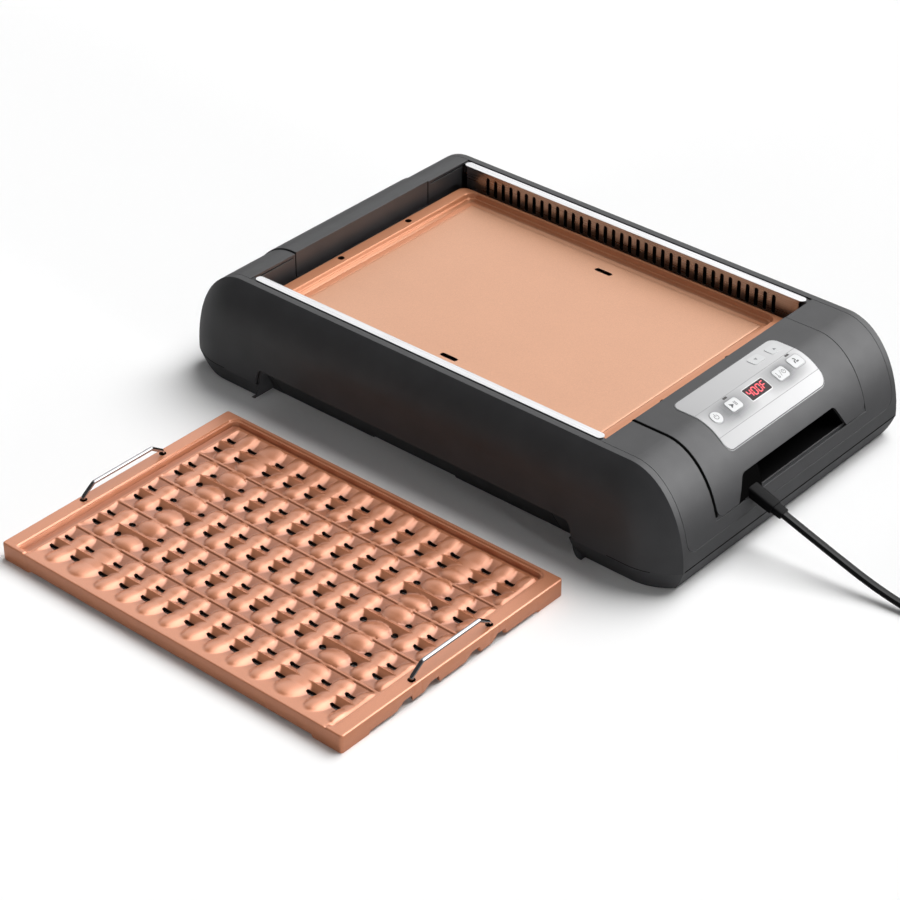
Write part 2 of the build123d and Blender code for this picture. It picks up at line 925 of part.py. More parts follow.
# Posts inside the pod that hold the control board
with BuildPart() as board_posts:
    with BuildSketch(level(housing_top + pod_proud - board_drop)):
        with Locations((board_x, 0)):
            with GridLocations(board_post_pitch, 2 * board_post_y, 2, 2):
                Circle(board_post / 2)
    extrude(amount=board_drop)
    with BuildSketch(across(0)):
        add(loaf(seam_gap))
    extrude(amount=pod_half, both=True, mode=Mode.INTERSECT)

# Control pod: the raised cover at the right with the finger space under its end
cord_notch_x = right_flat + end_round / 2
with BuildPart() as control_pod:
    add(end_cap(pod_proud, pod_half, well_half + seam_gap))
    add(panel_holes.part, mode=Mode.SUBTRACT)
    with BuildSketch(relief_plane):
        RectangleRounded(relief_width + 2 * seam_gap, relief_thick + 2 * seam_gap, relief_thick / 3)
    extrude(amount=2 * overrun, both=True, mode=Mode.SUBTRACT)
    add(board_posts.part)
    with BuildSketch(along(cord_notch_x - overrun)):
        with Locations((cord_y, pod_foot)):
            RectangleRounded(cord_notch, 2 * cord_notch_depth, cord_notch_depth / 2)
    extrude(amount=end_round, mode=Mode.SUBTRACT)
control_pod.part.label = "control_pod"
export_step(control_pod.part, "parts/control_pod.step")

# Handle cover: its twin on the left end, with an apron down the well's wall
with BuildPart() as handle_cover:
    add(flip(end_cap(handle_proud, handle_half, well_half + right_flat - left_flat)))
    with BuildSketch(level(apron_foot)):
        with Locations((-well_half - well_wall / 2, 0)):
            Rectangle(well_wall, 2 * handle_half)
    extrude(amount=handle_apron)
handle_cover.part.label = "handle_cover"
export_step(handle_cover.part, "parts/handle_cover.step")

# Control overlay: the thin printed panel that follows the pod's surface
with BuildPart() as control_overlay:
    with BuildSketch(across(0)):
        add(loaf(-pod_proud - overlay_sheet))
        add(loaf(-pod_proud - overlay_glue), mode=Mode.SUBTRACT)
    extrude(amount=overlay_half, both=True)
    with BuildSketch(level(recess_top)):
        with Locations(((overlay_left + overlay_right) / 2, 0)):
            RectangleRounded(overlay_right - overlay_left, 2 * overlay_half, overlay_corner)
    extrude(amount=housing_top, mode=Mode.INTERSECT)
    add(panel_holes.part, mode=Mode.SUBTRACT)
control_overlay.part.label = "control_overlay"
export_step(control_overlay.part, "parts/control_overlay.step")

# Keys: each a body of its own that presses straight into the panel
for name, (x, y) in keys.items():
    with BuildPart() as key:
        add(key_form(x, y, 0, key_depth, panel_top))
    key.part.label = name
    export_step(key.part, "parts/" + name + ".step")
with BuildPart() as power_button:
    add(round_key(0, key_depth, panel_top))
power_button.part.label = "power_button"
export_step(power_button.part, "parts/power_button.step")

# Indicator lenses: two small bars flush with the panel
with BuildPart() as indicator_lenses:
    for y in (lamp_y, lamp_far_y):
        add(small_window(lamp_x, y, lamp_long, lamp_short, 0, key_depth, overlay_sheet))
indicator_lenses.part.label = "indicator_lenses"
export_step(indicator_lenses.part, "parts/indicator_lenses.step")

# Display window and the digit module behind it
with BuildPart() as display_window:
    add(small_window(display_x, display_y, display_long, display_short, 0, display_glass, overlay_sheet))
display_window.part.label = "display_window"
export_step(display_window.part, "parts/display_window.step")
with BuildPart() as display_module:
    with BuildSketch(surface(display_x, display_y, -display_glass - seam_gap)):
        RectangleRounded(
            display_long - 2 * key_gap,
            display_short - 2 * key_gap,
            display_short / 4 - key_gap,
        )
    extrude(amount=-display_module_depth)
display_module.part.label = "display_module"
export_step(display_module.part, "parts/display_module.step")

# Control board: a tilted board under the panel with a switch below each key
board_plane = surface(board_x, 0, -board_drop)
with BuildPart() as control_board:
    with BuildSketch(board_plane):
        Rectangle(board_long, board_short)
    extrude(amount=-board_thick)
    for x, y in (*keys.values(), (power_x, power_y)):
        with BuildSketch(surface(x, y, -key_depth - key_travel - switch_gap)):
            Rectangle(switch_size, switch_size)
        extrude(until=Until.NEXT, dir=-board_plane.z_dir)
control_board.part.label = "control_board"
export_step(control_board.part, "parts/control_board.step")


def vent_panel(hand):
    """One slotted steel side of the well with the bright strip folded over its top."""
    face = hand * strip_inner
    with BuildPart() as panel:
        with BuildSketch(level(housing_top - strip_thick)):
            with Locations((0, hand * (strip_inner + strip_width / 2))):
                SlotOverall(2 * strip_half, strip_width)
            with Locations((0, hand * (strip_inner + strip_width / 4))):
                Rectangle(2 * strip_half - strip_width, strip_width / 2)
        extrude(amount=strip_thick)
        with BuildSketch(across(face)):
            with BuildLine():
                half = strip_half - vent_corner / 2
                straight = half - vent_corner
                curve_z = well_floor_z + vent_corner
                Polyline(
                    (-half, curve_z),
                    (-half, housing_top - strip_thick / 2),
                    (half, housing_top - strip_thick / 2),
                    (half, curve_z),
                )
                RadiusArc((half, curve_z), (straight, well_floor_z), vent_corner)
                Line((straight, well_floor_z), (-straight, well_floor_z))
                RadiusArc((-straight, well_floor_z), (-half, curve_z), vent_corner)
            make_face()
            with Locations((0, (vent_top + vent_foot) / 2)):
                with GridLocations(vent_pitch, 0, vent_count, 1):
                    SlotOverall(vent_top - vent_foot, vent_width, rotation=90, mode=Mode.SUBTRACT)
            tab_z = well_floor_z + vent_tab_height
            for slit, how in ((vent_tab_slit, Mode.SUBTRACT), (0, Mode.ADD)):
                with GridLocations(2 * vent_tab_x, 0, 2, 1):
                    with Locations((0, tab_z - vent_tab_height / 2)):
                        Rectangle(vent_tab_width + 2 * slit, vent_tab_height, mode=how)
                    with Locations((0, tab_z)):
                        Circle(vent_tab_width / 2 + slit, mode=how)
            with GridLocations(2 * vent_tab_x, 0, 2, 1):
                with Locations((0, tab_z + (vent_tab_width + vent_tab_slit) / 2)):
                    Rectangle(vent_tab_width / 3, 2 * vent_tab_slit)
        extrude(amount=-hand * sheet)
    return panel.part


with BuildPart() as front_vent_panel:
    add(vent_panel(-1))
front_vent_panel.part.label = "front_vent_panel"
export_step(front_vent_panel.part, "parts/front_vent_panel.step")
with BuildPart() as rear_vent_panel:
    add(vent_panel(1))
rear_vent_panel.part.label = "rear_vent_panel"
export_step(rear_vent_panel.part, "parts/rear_vent_panel.step")

# Heat shield: a pressed funnel over the drip tray, its flange carrying the plate
with BuildPart() as shield_hollow:
    with BuildSketch(level(well_floor_z)):
        RectangleRounded(2 * shield_top_x, 2 * shield_top_y, plate_corner)
    with BuildSketch(level(shield_foot_z)):
        RectangleRounded(2 * shield_foot_x, 2 * shield_foot_y, plate_corner)
    loft(ruled=True)
with BuildPart() as heat_shield:
    with BuildSketch(level(well_floor_z)):
        RectangleRounded(2 * (shield_top_x + sheet), 2 * (shield_top_y + sheet), plate_corner + sheet)
    with BuildSketch(level(shield_foot_z)):
        RectangleRounded(2 * (shield_foot_x + sheet), 2 * (shield_foot_y + sheet), plate_corner + sheet)
    loft(ruled=True)
    with BuildSketch(level(well_floor_z)):
        RectangleRounded(2 * shield_flange_x, 2 * shield_flange_y, plate_corner)
    extrude(amount=-sheet)
    add(shield_hollow.part, mode=Mode.SUBTRACT)
    with BuildSketch(level(well_floor_z - sheet)):
        pad_x = plate_length - seat_pad_size
        pad_y = plate_width - seat_pad_size
        with GridLocations(pad_x, pad_y, 2, 2):
            RectangleRounded(seat_pad_size, seat_pad_size, seat_pad_size / 4)
    extrude(amount=sheet + seat_pad)
heat_shield.part.label = "heat_shield"
export_step(heat_shield.part, "parts/heat_shield.step")

# Heating element: two sheathed hairpins whose ends leave the well at the right
element_z = well_floor_z + element_lift + element_size / 2
with BuildPart() as heating_element:
    for hand in (-1, 1):
        with BuildLine() as run:
            FilletPolyline(
                (well_x + element_end_x, well_y + hand * element_near_y, element_z),
                (well_x + element_turn_x, well_y + hand * element_near_y, element_z),
                (well_x + element_turn_x, well_y + hand * element_far_y, element_z),
                (well_x + element_return_x, well_y + hand * element_far_y, element_z),
                (well_x + element_step_x, well_y + hand * element_exit_y, element_z),
                (well_x + element_end_x, well_y + hand * element_exit_y, element_z),
                radius=(element_turn_radius, element_turn_radius, element_step_radius, element_step_radius),
            )
        with BuildSketch(Plane(origin=run.line @ 0, z_dir=run.line % 0)):
            Circle(element_size / 2)
        sweep(path=run.line)
heating_element.part.label = "heating_element"
export_step(heating_element.part, "parts/heating_element.step")

# Element brackets: three bars across the shield under the element
with BuildPart() as element_brackets:
    with BuildSketch(level(well_floor_z + element_lift - seam_gap / 3)):
        with GridLocations(bracket_pitch, 0, 3, 1):
            Rectangle(bracket_width, 2 * (shield_top_y - seam_gap))
    extrude(amount=-bracket_thick)
element_brackets.part.label = "element_brackets"
export_step(element_brackets.part, "parts/element_brackets.step")

# Terminal block: holds the element's ends behind the well's wall
with BuildPart() as terminal_block:
    with BuildSketch(level(terminal_foot)):
        with Locations((terminal_x + terminal_depth / 2, 0)):
            Rectangle(terminal_depth, 2 * terminal_half)
    extrude(amount=terminal_height)
    with BuildSketch(along(terminal_x)):
        for leg_y in (element_near_y, element_exit_y):
            for hand in (-1, 1):
                with Locations((hand * leg_y, element_z)):
                    Circle(element_size / 2)
    extrude(amount=element_end_x - terminal_x, mode=Mode.SUBTRACT)
terminal_block.part.label = "terminal_block"
export_step(terminal_block.part, "parts/terminal_block.step")

# Temperature sensor: a cap under the plate on a stem from the shield's flange
with BuildPart() as temperature_sensor:
    with BuildSketch(level(element_z + element_size / 2 - sensor_cap)):
        with Locations((sensor_x, 0)):
            Circle(sensor_size / 2)
    extrude(amount=sensor_cap)
    with BuildSketch(level(well_floor_z)):
        with Locations((sensor_x, 0), (shield_top_x + sensor_stem, 0)):
            Rectangle(sensor_size, sensor_stem)
    extrude(amount=element_size - sensor_cap + element_lift + seam_gap)
temperature_sensor.part.label = "temperature_sensor"
export_step(temperature_sensor.part, "parts/temperature_sensor.step")


def tray_section(wall, foot, top):
    """The tray's end view: flat floor, upright back and a front that leans out."""
    back = tray_back - wall
    face_foot = -arch_back_foot - (foot - arch_foot_z) * arch_slope + tray_face_thick - bay_gap + wall
    face_top = -arch_back_foot - (top - arch_foot_z) * arch_slope + tray_face_thick - bay_gap + wall
    with BuildSketch() as outline:
        with BuildLine():
            Polyline((face_foot, foot), (face_top, top), (back, top), (back, foot), close=True)
        make_face()
    return outline.sketch


# Drip tray: a shallow pan whose leaning front closes the arch
with BuildPart() as drip_tray:
    with BuildSketch(along(0)):
        add(tray_section(0, tray_floor, tray_top))
    extrude(amount=tray_half, both=True)
    with BuildSketch(along(0)):
        with BuildLine():
            front_foot = -arch_back_foot - (tray_face_foot - arch_foot_z) * arch_slope
            front_top = -arch_back_foot - (tray_top - arch_foot_z) * arch_slope
            Polyline(
                (front_foot, tray_face_foot),
                (front_top, tray_top),
                (front_top + tray_face_thick, tray_top),
                (front_foot + tray_face_thick, tray_face_foot),
                close=True,
            )
        make_face()
    extrude(amount=tray_face_half, both=True)
    with BuildSketch(along(0)):
        add(tray_section(tray_wall, tray_floor + tray_wall, tray_top + overrun))
    extrude(amount=tray_half - tray_wall, both=True, mode=Mode.SUBTRACT)
    # the finger notch under the front
    with BuildSketch(across(-body_half)):
        with Locations(((tray_pull_left + tray_pull_right) / 2, tray_face_foot)):
            RectangleRounded(tray_pull_right - tray_pull_left, 2 * tray_pull_rise, tray_pull_rise / 2)
    extrude(amount=-(body_half + way_back - tray_wall), mode=Mode.SUBTRACT)
drip_tray.part.label = "drip_tray"
export_step(drip_tray.part, "parts/drip_tray.step")

# Smoke fan: a scroll housing on the base floor, a drum impeller and a flat motor
scroll_floor = base_floor_z + scroll_wall


def scroll(inset):
    """The fan housing's outline: four quarter turns that open out toward the mouth."""
    with BuildSketch() as outline:
        with BuildLine():
            first = CenterArc((0, 0), scroll_radius - inset, 0, 90)
            second_centre = (0, -scroll_growth)
            second = CenterArc(second_centre, scroll_radius + scroll_growth - inset, 90, 90)
            third_centre = (scroll_growth, -scroll_growth)
            third = CenterArc(third_centre, scroll_radius + 2 * scroll_growth - inset, 180, 90)
            mouth = (scroll_radius + 2 * scroll_growth - inset, (third @ 1).Y)
            Line(third @ 1, mouth)
            Line(mouth, (mouth[0], 0))
            Line((mouth[0], 0), first @ 0)
            Line(first @ 1, second @ 0)
        make_face()
    return outline.sketch


with BuildPart() as fan_housing:
    with BuildSketch(Plane(origin=(well_x + fan_x, well_y, base_floor_z))):
        add(scroll(0))
    extrude(amount=scroll_height)
    with BuildSketch(Plane(origin=(well_x + fan_x, well_y, scroll_floor))):
        add(scroll(scroll_wall))
    extrude(amount=scroll_height - 2 * scroll_wall, mode=Mode.SUBTRACT)
    with BuildSketch(Plane(origin=(well_x + fan_x, well_y, base_floor_z))):
        with GridLocations(louvre_pitch, 0, louvre_count, 1):
            SlotOverall(louvre_length, louvre_width, rotation=90)
    extrude(amount=scroll_wall, mode=Mode.SUBTRACT)
    with BuildSketch(Plane(origin=(well_x + fan_x, well_y, base_floor_z + scroll_height))):
        Circle(inlet_radius)
    extrude(amount=-scroll_wall, mode=Mode.SUBTRACT)
    # three arms hold the motor over the inlet
    with BuildSketch(Plane(origin=(well_x + fan_x, well_y, base_floor_z + scroll_height - scroll_wall))):
        Circle(motor_boss / 2)
        with PolarLocations(inlet_radius / 2, 3):
            Rectangle(inlet_radius + scroll_wall, scroll_wall * 2)
        Circle(fan_shaft / 2 + shaft_gap, mode=Mode.SUBTRACT)
    extrude(amount=scroll_wall)
fan_housing.part.label = "fan_housing"
export_step(fan_housing.part, "parts/fan_housing.step")

impeller_z = scroll_floor + fan_clear / 2
with BuildPart() as fan_impeller:
    impeller_plane = Plane(origin=(well_x + fan_x, well_y, impeller_z))
    with BuildSketch(impeller_plane):
        Circle(fan_radius - fan_clear)
    extrude(amount=fan_plate)
    with BuildSketch(impeller_plane):
        with PolarLocations(fan_radius - fan_clear - fan_blade_depth / 2, fan_blades):
            Rectangle(fan_blade_depth, fan_blade_thick)
    extrude(amount=fan_height)
    with BuildSketch(impeller_plane.offset(fan_height - fan_plate)):
        Circle(fan_radius - fan_clear + fan_plate)
        Circle(fan_radius - fan_clear - fan_plate, mode=Mode.SUBTRACT)
    extrude(amount=fan_plate)
    with BuildSketch(impeller_plane):
        Circle(fan_hub / 2)
    extrude(amount=fan_height - fan_clear)
    with BuildSketch(impeller_plane):
        Circle(fan_shaft / 2)
    extrude(amount=base_floor_z + scroll_height - impeller_z - shaft_gap)
fan_impeller.part.label = "fan_impeller"
export_step(fan_impeller.part, "parts/fan_impeller.step")

with BuildPart() as fan_motor:
    motor_plane = Plane(origin=(well_x + fan_x, well_y, base_floor_z + scroll_height))
    with BuildSketch(motor_plane):
        Circle(motor_boss / 2)
    extrude(amount=scroll_wall)
    with BuildSketch(motor_plane.offset(scroll_wall)):
        Circle(motor_size / 2)
    extrude(amount=motor_height - scroll_wall)
    fillet(fan_motor.edges().group_by(Axis.Z)[-1], radius=scroll_wall)
fan_motor.part.label = "fan_motor"
export_step(fan_motor.part, "parts/fan_motor.step")

# Power board: on standoffs behind the fan, with its relay, coil and capacitors
with BuildPart() as power_board:
    board_z = base_floor_z + standoff_height
    with BuildSketch(level(board_z)):
        with Locations((power_board_x, power_board_y)):
            Rectangle(power_board_long, power_board_wide)
    extrude(amount=board_thick)
    with BuildSketch(level(board_z + board_thick)):
        with Locations((power_board_x - relay_long / 2, power_board_y - relay_wide / 2)):
            Rectangle(relay_long, relay_wide)
    extrude(amount=relay_height)
    with BuildSketch(level(board_z + board_thick)):
        with Locations((power_board_x + relay_long / 2, power_board_y)):
            with GridLocations(0, capacitor_size + coil_block / 4, 1, 2):
                Circle(capacitor_size / 2)
    extrude(amount=capacitor_height)
    with BuildSketch(level(board_z + board_thick)):
        with Locations((power_board_x - relay_long / 2, power_board_y + relay_wide / 2 + coil_block / 4)):
            Rectangle(coil_block, coil_block)
    extrude(amount=coil_block)
power_board.part.label = "power_board"
export_step(power_board.part, "parts/power_board.step")


def plate_blank():
    """A cooking plate before its surface: the block, hollow skirt, feet, holes and notches."""
    with BuildPart() as blank:
        with BuildSketch():
            RectangleRounded(plate_length, plate_width, plate_corner)
        extrude(amount=plate_height)
        fillet(blank.edges().group_by(Axis.Z)[-1], radius=cast_edge)
        # the side rims are hollow below, up to a wall's thickness from the top
        with BuildSketch():
            reach = plate_length / 2 - cast_wall - plate_channel / 2
            with GridLocations(2 * reach, 0, 2, 1):
                Rectangle(plate_channel, plate_width - 2 * plate_corner)
        extrude(amount=plate_height - cast_wall, mode=Mode.SUBTRACT)
        with BuildSketch():
            hole_x = plate_length / 2 - lift_hole_inset
            with GridLocations(2 * hole_x, 2 * lift_hole_y, 2, 2):
                Circle(lift_hole / 2)
        extrude(amount=plate_height, mode=Mode.SUBTRACT)
        # the skirt stands on its corners only
        with BuildSketch():
            Rectangle(plate_length - 2 * foot_run, plate_width + 2 * overrun)
        extrude(amount=foot_rise, mode=Mode.SUBTRACT)
        with BuildSketch():
            Rectangle(plate_length + 2 * overrun, plate_width - 2 * foot_run)
        extrude(amount=foot_rise, mode=Mode.SUBTRACT)
        # notches for the heating element's legs, upright at the back and sloping in front
        with BuildSketch(Plane.YZ.offset(plate_length / 2 - side_rim - overrun)):
            for notch_y in (notch_near_y, notch_far_y):
                for hand in (-1, 1):
                    with Locations((hand * notch_y, 0)):
                        Polygon(
                            (-notch_half - notch_ramp, -overrun),
                            (-notch_half - notch_ramp, foot_rise),
                            (-notch_half, notch_height),
                            (notch_half, notch_height),
                            (notch_half, -overrun),
                            align=None,
                        )
        extrude(amount=side_rim + 2 * overrun, mode=Mode.SUBTRACT)
    return blank.part


def underside(thickness_top):
    """The hollow under a plate's floor, up to the height given."""
    with BuildPart() as hollow:
        with BuildSketch():
            RectangleRounded(plate_length - 2 * side_rim, plate_width - 2 * cast_wall, pan_corner)
            Rectangle(plate_length - 2 * cast_wall, plate_width - 2 * plate_corner)
        extrude(amount=thickness_top)
    return hollow.part


# Griddle plate: smooth, with a step, a gutter round its floor and two drain slots
griddle_under = plate_height - griddle_depth - cast_wall
with BuildPart(Plane(origin=(well_x, well_y, griddle_z))) as griddle_plate:
    add(plate_blank())
    add(underside(griddle_under), mode=Mode.SUBTRACT)
    with BuildSketch(level(griddle_z + plate_height)):
        RectangleRounded(plate_length - 2 * side_rim, plate_width - 2 * long_rim, pan_corner)
    extrude(amount=-griddle_step, taper=pan_taper, mode=Mode.SUBTRACT)
    with BuildSketch(level(griddle_z + plate_height - griddle_step)):
        RectangleRounded(
            plate_length - 2 * side_rim - griddle_step,
            plate_width - 2 * long_rim - griddle_step,
            pan_corner - griddle_step / 2,
        )
    extrude(amount=griddle_step - griddle_depth, taper=pan_taper, mode=Mode.SUBTRACT)
    with BuildSketch(level(griddle_z + plate_height - griddle_depth)):
        gutter_x = plate_length - 2 * side_rim - 2 * griddle_step
        gutter_y = plate_width - 2 * long_rim - 2 * griddle_step
        RectangleRounded(gutter_x, gutter_y, pan_corner / 2)
        RectangleRounded(
            gutter_x - 2 * griddle_groove,
            gutter_y - 2 * griddle_groove,
            pan_corner / 4,
            mode=Mode.SUBTRACT,
        )
    extrude(amount=-groove_depth, mode=Mode.SUBTRACT)
    with BuildSketch(level(griddle_z)):
        with Locations((drain_shift, drain_y), (drain_shift - drain_skew, -drain_y)):
            SlotOverall(drain_length, drain_width)
    extrude(amount=plate_height, mode=Mode.SUBTRACT)
griddle_plate.part.label = "griddle_plate"
export_step(griddle_plate.part, "parts/griddle_plate.step")

# Columns of the grill pattern: even steps with one wider step near each end
column_steps = (0,) + (column_pitch,) * (even_columns - 1) + (wide_pitch, column_pitch)
columns = [sum(column_steps[: n + 1]) for n in range(len(column_steps))]
all_columns = sorted({-x for x in columns} | set(columns))
band_centres = [band_pitch * (n - (band_count - 1) / 2) for n in range(band_count)]


leaf_shares = (-0.94, -0.5, 0, 0.5, 0.94)


def leaf(long, wide):
    """One embossed almond, lying along Y: round in section and drawn to a point at both ends."""
    with BuildPart() as form:
        for share in leaf_shares:
            swell = 1 - share**2
            edge = wide / 2 * swell
            with BuildSketch(Plane(origin=(0, share * long / 2, 0), x_dir=(1, 0, 0), z_dir=(0, -1, 0))):
                with BuildLine():
                    ThreePointArc((-edge, 0), (0, leaf_height * swell), (edge, 0))
                    Line((edge, 0), (-edge, 0))
                make_face()
        loft()
    return form.part


# One leaf for each step between columns in each band; the wide steps of the middle bands hold two
pattern_floor = plate_height - pattern_depth
outer_band = band_pitch * (band_count - 1) / 2
leaves = []
for n in range(1, len(all_columns)):
    leaf_x = (all_columns[n - 1] + all_columns[n]) / 2
    step = all_columns[n] - all_columns[n - 1]
    whole = leaf(leaf_length, step - leaf_side_gap)
    half = leaf(step - leaf_side_gap, leaf_length / 2 - 2 * ridge_width).rotate(Axis.Z, 90)
    for row_y in band_centres:
        if step > (column_pitch + wide_pitch) / 2 and abs(row_y) < outer_band:
            for side in (-1, 1):
                leaves.append(half.moved(Location((leaf_x, row_y + side * leaf_length / 4, pattern_floor))))
        else:
            leaves.append(whole.moved(Location((leaf_x, row_y, pattern_floor))))

# Grill plate: embossed leaves in bands, ridges between them and rows of slots
pattern_half_x = plate_length / 2 - side_rim - pattern_margin / 2
pattern_half_y = plate_width / 2 - long_rim - pattern_margin / 2
with BuildPart(Plane(origin=(rest_x, rest_y, 0))) as grill_plate:
    add(plate_blank())
    add(underside(plate_height - channel_depth - cast_wall), mode=Mode.SUBTRACT)
    with BuildSketch(Plane(origin=(rest_x, rest_y, plate_height))):
        RectangleRounded(plate_length - 2 * side_rim, plate_width - 2 * long_rim, pan_corner)
    extrude(amount=-channel_depth, taper=pan_taper, mode=Mode.SUBTRACT)
    with BuildSketch(Plane(origin=(rest_x, rest_y, plate_height - channel_depth))):
        RectangleRounded(2 * pattern_half_x, 2 * pattern_half_y, pan_corner / 2)
    extrude(amount=channel_depth - pattern_depth)
    for n in range(1, band_count):
        ridge_y = (band_centres[n - 1] + band_centres[n]) / 2
        with BuildSketch(Plane(origin=(rest_x, rest_y + ridge_y, pattern_floor))):
            Rectangle(2 * pattern_half_x, ridge_width)
        extrude(amount=ridge_height)
    # a short ridge parts the two leaves of each wide step
    with BuildSketch(Plane(origin=(rest_x, rest_y, pattern_floor))):
        for row_y in band_centres[1:-1]:
            with Locations((columns[-3] + wide_pitch / 2, row_y), (-columns[-3] - wide_pitch / 2, row_y)):
                Rectangle(wide_pitch - slot_length, ridge_width)
    extrude(amount=centre_ridge_height)
    add(leaves)
    with BuildSketch(Plane(origin=(rest_x, rest_y, 0))):
        for x in all_columns:
            for row_y in band_centres:
                outer_column = columns[-4] < abs(x) < columns[-1]
                inner_band = abs(row_y) < outer_band
                for side in (-1, 1):
                    with Locations((x, row_y + side * slot_row_offset)):
                        if outer_column and inner_band:
                            Circle(dot_size / 2)
                        else:
                            Rectangle(slot_length, slot_width)
    extrude(amount=plate_height, mode=Mode.SUBTRACT)
grill_plate.part.label = "grill_plate"
export_step(grill_plate.part, "parts/grill_plate.step")

# Wire handles: one bent rod at each end of the grill plate, hooked under its rim
hook_z = plate_height - cast_wall - wire_hook_gap - wire_size / 2
for name, hand in (("left_wire_handle", -1), ("right_wire_handle", 1)):
    with BuildPart() as handle:
        rod_x = rest_x + hand * (plate_length / 2 - lift_hole_inset)
        with BuildLine() as rod:
            FilletPolyline(
                (rod_x, rest_y - lift_hole_y + wire_hook, hook_z),
                (rod_x, rest_y - lift_hole_y, hook_z),
                (rod_x, rest_y - lift_hole_y, plate_height + wire_neck),
                (rod_x, rest_y - wire_half, plate_height + wire_rise),
                (rod_x, rest_y + wire_half, plate_height + wire_rise),
                (rod_x, rest_y + lift_hole_y, plate_height + wire_neck),
                (rod_x, rest_y + lift_hole_y, hook_z),
                (rod_x, rest_y + lift_hole_y - wire_hook, hook_z),
                radius=(wire_hook_bend, wire_knee, wire_bend, wire_bend, wire_knee, wire_hook_bend),
            )
        with BuildSketch(Plane(origin=rod.line @ 0, z_dir=rod.line % 0)):
            Circle(wire_size / 2)
        sweep(path=rod.line)
    handle.part.label = name
    export_step(handle.part, "parts/" + name + ".step")

# Strain relief: a ribbed sleeve from the back of the finger space down to the cord
with BuildPart() as strain_relief:
    with BuildSketch(relief_plane):
        RectangleRounded(relief_width - 2 * relief_ring, relief_thick - relief_ring, relief_thick / 4)
    extrude(amount=relief_length)
    ring_pitch = relief_length / (2 * relief_rings)
    for n in range(relief_rings):
        with BuildSketch(relief_plane.offset(relief_length - (n + 1) * ring_pitch)):
            RectangleRounded(relief_width, relief_thick, relief_thick / 3)
        extrude(amount=ring_pitch / 2)
    with BuildSketch(relief_plane):
        RectangleRounded(relief_width, relief_thick, relief_thick / 3)
    extrude(amount=recess_depth / 3)
strain_relief.part.label = "strain_relief"
export_step(strain_relief.part, "parts/strain_relief.step")

# Cord: from the sleeve down to the table and along it to the coil
coil_y = cord_y + coil_radius
cord_z = cord_size / 2
relief_tip = relief_plane.origin + relief_plane.z_dir * relief_length
cord_route = [
    tuple(relief_tip),
    tuple(relief_tip + relief_plane.z_dir * cord_first_run),
    (well_x + relief_end_x + cord_bend_out, well_y + cord_bend_y, cord_bend_z),
    (well_x + relief_end_x + cord_land_out, well_y + cord_y, cord_z),
    (well_x + coil_x - cord_size, well_y + cord_y, cord_z),
]


def bend_radii(route):
    """The largest arcs that a route's corners allow, a share of the shorter run at each."""
    radii = []
    for before, here, after in zip(route, route[1:], route[2:]):
        inward = Vector(*here) - Vector(*before)
        outward = Vector(*after) - Vector(*here)
        half_turn = math.radians(inward.get_angle(outward)) / 2
        radii.append(bend_share * min(inward.length, outward.length) / math.tan(half_turn))
    return radii


def run_length(line):
    """The length of a path of several edges."""
    return sum(edge.length for edge in line.edges())


cord_radii = bend_radii(cord_route)
print("cord radii", [round(r, 1) for r in cord_radii])
with BuildPart() as cord:
    with BuildLine() as cord_line:
        FilletPolyline(*cord_route, radius=cord_radii)
    with BuildSketch(Plane(origin=cord_line.line @ 0, z_dir=cord_line.line % 0)):
        Circle(cord_size / 2)
    sweep(path=cord_line.line)
print("cord volume", round(cord.part.volume), "section times length",
      round(math.pi * cord_size**2 / 4 * run_length(cord_line.line)))
cord.part.label = "cord"
export_step(cord.part, "parts/cord.step")

# Coil: spirals in on the table, climbs a layer in a half turn and spirals out again
coil_pitch = cord_size + coil_gap
coil_centre = Vector(well_x + coil_x, well_y + coil_y, cord_z)
total_quarters = 2 * layer_quarters + 2


def coil_state(quarter):
    """Point and direction on the coil after that many quarter turns."""
    reversal = layer_quarters + 1
    climb = min(max(quarter - layer_quarters, 0), 2)
    radius = coil_radius - coil_pitch * (reversal - abs(quarter - reversal)) / 4
    turn = math.radians(90 * quarter - 90)
    slope = coil_pitch / (2 * math.pi)
    if quarter in (0, reversal, total_quarters):
        slope = 0
    elif quarter < reversal:
        slope = -slope
    lift = coil_pitch * (1 - math.cos(math.pi * climb / 2)) / 2
    rise = coil_pitch / 2 if quarter == reversal else 0
    along_turn = Vector(-math.sin(turn), math.cos(turn), 0)
    outward_turn = Vector(math.cos(turn), math.sin(turn), 0)
    point = coil_centre + outward_turn * radius + Vector(0, 0, lift)
    direction = along_turn * radius + outward_turn * slope + Vector(0, 0, rise)
    return point, direction.normalized()


def biarc_joint(start, start_dir, end, end_dir):
    """Where two arcs meet that leave and arrive along the given directions."""
    chord = end - start
    both = start_dir + end_dir
    a = both.dot(both) - 4
    b = chord.dot(both) * -2
    c = chord.dot(chord)
    reach = (-b - math.sqrt(b**2 - 4 * a * c)) / (2 * a)
    near = start + start_dir * reach
    far = end - end_dir * reach
    return (near + far) * 0.5, (far - near).normalized()


